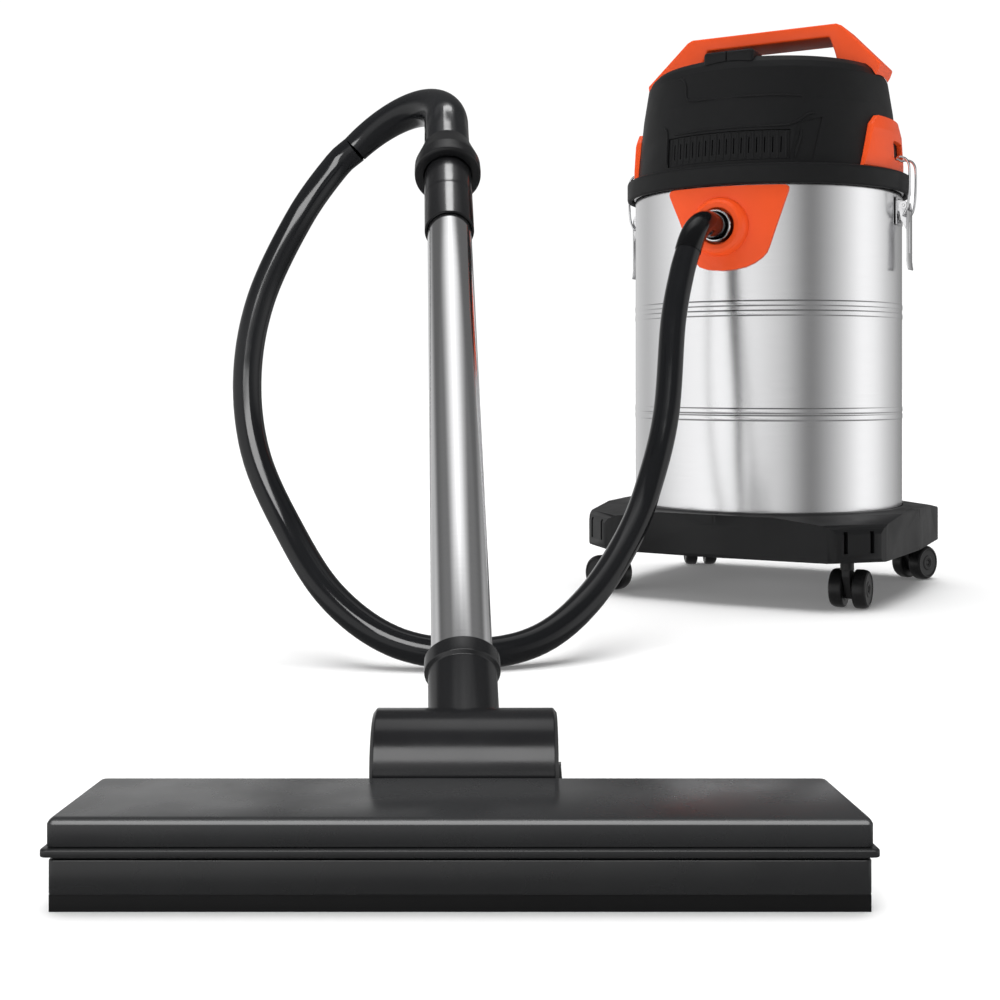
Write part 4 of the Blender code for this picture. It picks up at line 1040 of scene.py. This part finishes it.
def make_vent():
    """Grille panel between raised ribs, with slots in it behind the ribs' shadow."""
    plate = [(0.1523, 0.5324), (0.1556, 0.4996), (0.1505, 0.4996), (0.148, 0.5324)]
    grille = turned("vent_grille_fine", plate, "head", CANISTER, 0, 180)
    keep(grille, box((-0.0724, -0.18, 0.48), (0.0724, -0.12, 0.55), CANISTER))
    middles = [(i - 7.5) * VENT_PITCH for i in range(16)]
    cut(grille, *[box((x - 0.0006, -0.18, 0.507), (x + 0.0006, -0.12, 0.525), CANISTER) for x in middles])
    stand_for(grille, "head")
    for i in range(17):
        angle = asin((i - 8) * VENT_PITCH / VENT_R) * 180 / pi
        low, high = on_cover(angle, 0.5012, -0.0028), on_cover(angle, 0.5308, -0.0022)
        line = [low + (high - low) * k / 6 for k in range(7)]
        stand_for(tube(f"vent_rib_{i:02d}", line, [0.0022] * 7, "head", CANISTER, 12), "head")


def make_head_base():
    low, top = 0.471, 0.494
    profile = [
        (0.156, top), (0.1672, top), (0.1694, top - 0.0012), (0.17, top - 0.0036),
        (0.17, low + 0.0022), (0.1692, low), (0.1645, low), (0.1642, 0.4816), (0.155, 0.4816),
        (0.153, 0.47), (0.149, 0.47), (0.148, 0.485), (0.03, 0.485), (0.03, 0.49), (0.15, 0.49),
    ]
    stand_for(turned("head_base_fine", profile, "head", CANISTER, 0.001, 180), "head")
    gasket = [(0.158, 0.4812), (0.1636, 0.4812), (0.1636, 0.4784), (0.158, 0.4784)]
    stand_for(turned("drum_gasket_fine", gasket, "rubber", CANISTER, 0.0008, 144), "head")


def envelope():
    """A cutter with running clearance over the head cover."""
    profile = filleted(cover_outside(0.0004), 0.0062, 6, closed=False)
    return turned("envelope", profile + [(0.1579, 0.48), (0, 0.48)], None, CANISTER, 0, 180)


def make_catch(hand):
    """Arched side insert with the pocket and ledge that the latch bail pulls on."""
    where = LATCHES[hand]
    ring = [(0.148, 0.4948), (0.1616, 0.4948), (0.1616, 0.5075), (0.1596, 0.54), (0.1552, 0.558)]
    ring += [(0.148, 0.558)]
    catch = turned(f"catch_{hand}_fine", filleted(ring, 0.002, 4), "orange", where, 0, 180)
    arch = [(-0.085, 0.48), (-0.06, 0.545), (-0.048, 0.556), (0.048, 0.556), (0.06, 0.545), (0.085, 0.48)]
    arch_at = upright(where @ shift(0.15, 0, 0), "X")
    keep(catch, slab("arch", filleted(arch, 0.006, 6), 0.1, None, arch_at, 0))
    pocket = block("pocket", (0.14, -0.0195, 0.5075), (0.18, 0.0195, 0.53), None, where, 0.003, 4)
    cut(catch, envelope(), pocket)
    bevel(catch, 0.0008, 3, 50)
    stand_for(catch, "head")


def make_carry_handle():
    """Bent grip with broad feet and a hollow underside."""
    outline = [
        (0.139, 0.604), (0.144, 0.612), (0.147, 0.62), (0.1005, 0.669), (0.094, 0.672),
        (-0.086, 0.672), (-0.0925, 0.669), (-0.145, 0.62), (-0.144, 0.612), (-0.139, 0.604),
        (-0.1, 0.604), (-0.08, 0.63), (-0.07, 0.646), (-0.066, 0.6565), (0.086, 0.6565), (0.092, 0.64),
        (0.102, 0.604),
    ]
    outline = filleted(outline, 0.003, 5)
    handle = slab("carry_handle_fine", outline, 0.058, "orange", upright(CANISTER), 0.003, 4)
    cut(handle, envelope())
    stand_for(handle, "head")


def make_switch():
    """Low switch housing with a two-way rocker and a slit between its halves."""
    pod = block("switch_pod_fine", (-0.03, -0.137, 0.6), (0.03, -0.102, 0.629), "head", CANISTER, 0.0045, 5)
    at = CANISTER @ shift(0, -0.1195, 0.624)
    seat = rod(0.0084, -0.01, 0.01, at @ spin(pi / 2, "Y"), 48)
    slit = box((-0.0027, -0.14, 0.6), (-0.0015, -0.134, 0.63), CANISTER)
    cut(pod, envelope(), seat, slit)
    stand_for(pod, "head")
    profile = [(-0.0068, 0.0018), (0, 0.0042), (0.0068, 0.0042), (0.0068, -0.003), (0.003, -0.0068)]
    profile += [(-0.003, -0.0068), (-0.0068, -0.003)]
    profile = filleted(profile, 0.001, 3)
    rocker = slab("rocker_switch_fine", profile, 0.019, "head", upright(at, "X"), 0.0006, 3)
    stand_for(rocker, "power_rocker")


def make_gland():
    profile = [(0, 0.14), (0.0068, 0.14), (0.0068, 0.156), (0.01, 0.1575), (0.01, 0.161), (0.0072, 0.1622)]
    for i in range(5):
        z, r = 0.1632 + i * 0.004, 0.0072 - i * 0.0004
        profile += [(r, z), (r, z + 0.0018), (r - 0.0012, z + 0.0021), (r - 0.0012, z + 0.0037)]
    profile += [(0.0052, 0.185), (0, 0.185)]
    stand_for(turned("cord_gland_fine", profile, "rubber", GLAND, 0.0003, 40), "head")


def make_filter():
    """Pleated cartridge between two moulded end caps."""
    shape = bmesh.new()
    count = 64

    def circle(z, *radii):
        points = [(radii[k % len(radii)], pi * k / count) for k in range(2 * count)]
        return [shape.verts.new((r * cos(t), r * sin(t), z)) for r, t in points]

    folds, holes = zip(*[(circle(z, 0.061, 0.0712), circle(z, 0.0565)) for z in (0.376, 0.4806)])
    for one, two in (folds, holes, *zip(folds, holes)):
        skin(shape, one, two)
    pleats = solid(shape, "filter_pleats_fine", "paper", CANISTER, 0.0004, 2, 40)
    stand_for(pleats, "head", "filter_cartridge")
    lower = [(0, 0.372), (0.072, 0.372), (0.072, 0.38), (0.056, 0.3805), (0, 0.38)]
    upper = [(0.056, 0.477), (0.072, 0.477), (0.072, 0.4846), (0.056, 0.4846)]
    for name, profile in (("filter_cap_lower", lower), ("filter_cap_upper", upper)):
        stand_for(turned(name, profile, "rubber", CANISTER, 0.001, 96), "head")


def dress_inner_pieces():
    """The pieces inside the head keep their CAD shape and get their finish here."""
    finishes = {
        "grey": ["inlet_deflector", "motor_housing", "fan_housing", "float_cage"],
        "copper": ["motor_stator"],
        "motor": ["motor_rotor", "bearing_lower", "bearing_upper"],
        "fan": ["impeller"],
        "orange": ["float_ball"],
    }
    for look, names in finishes.items():
        for name in names:
            mesh = frame["nodes"][name].data
            mesh.materials.clear()
            mesh.materials.append(looks[look].material)
            smooth(mesh)


looks = make_looks()
make_stage()
make_hose()
make_hose_handle()
make_cuff()
make_wand()
make_neck()
make_nozzle()
make_drum()
make_dolly()
for caster in CASTERS:
    make_caster(caster)
make_inlet()
for latch in LATCHES:
    make_latch(latch)
    make_catch(latch)
make_head_cover()
make_ridges()
make_vent()
make_head_base()
make_carry_handle()
make_switch()
make_gland()
make_filter()
dress_inner_pieces()
make_gloss_lights()
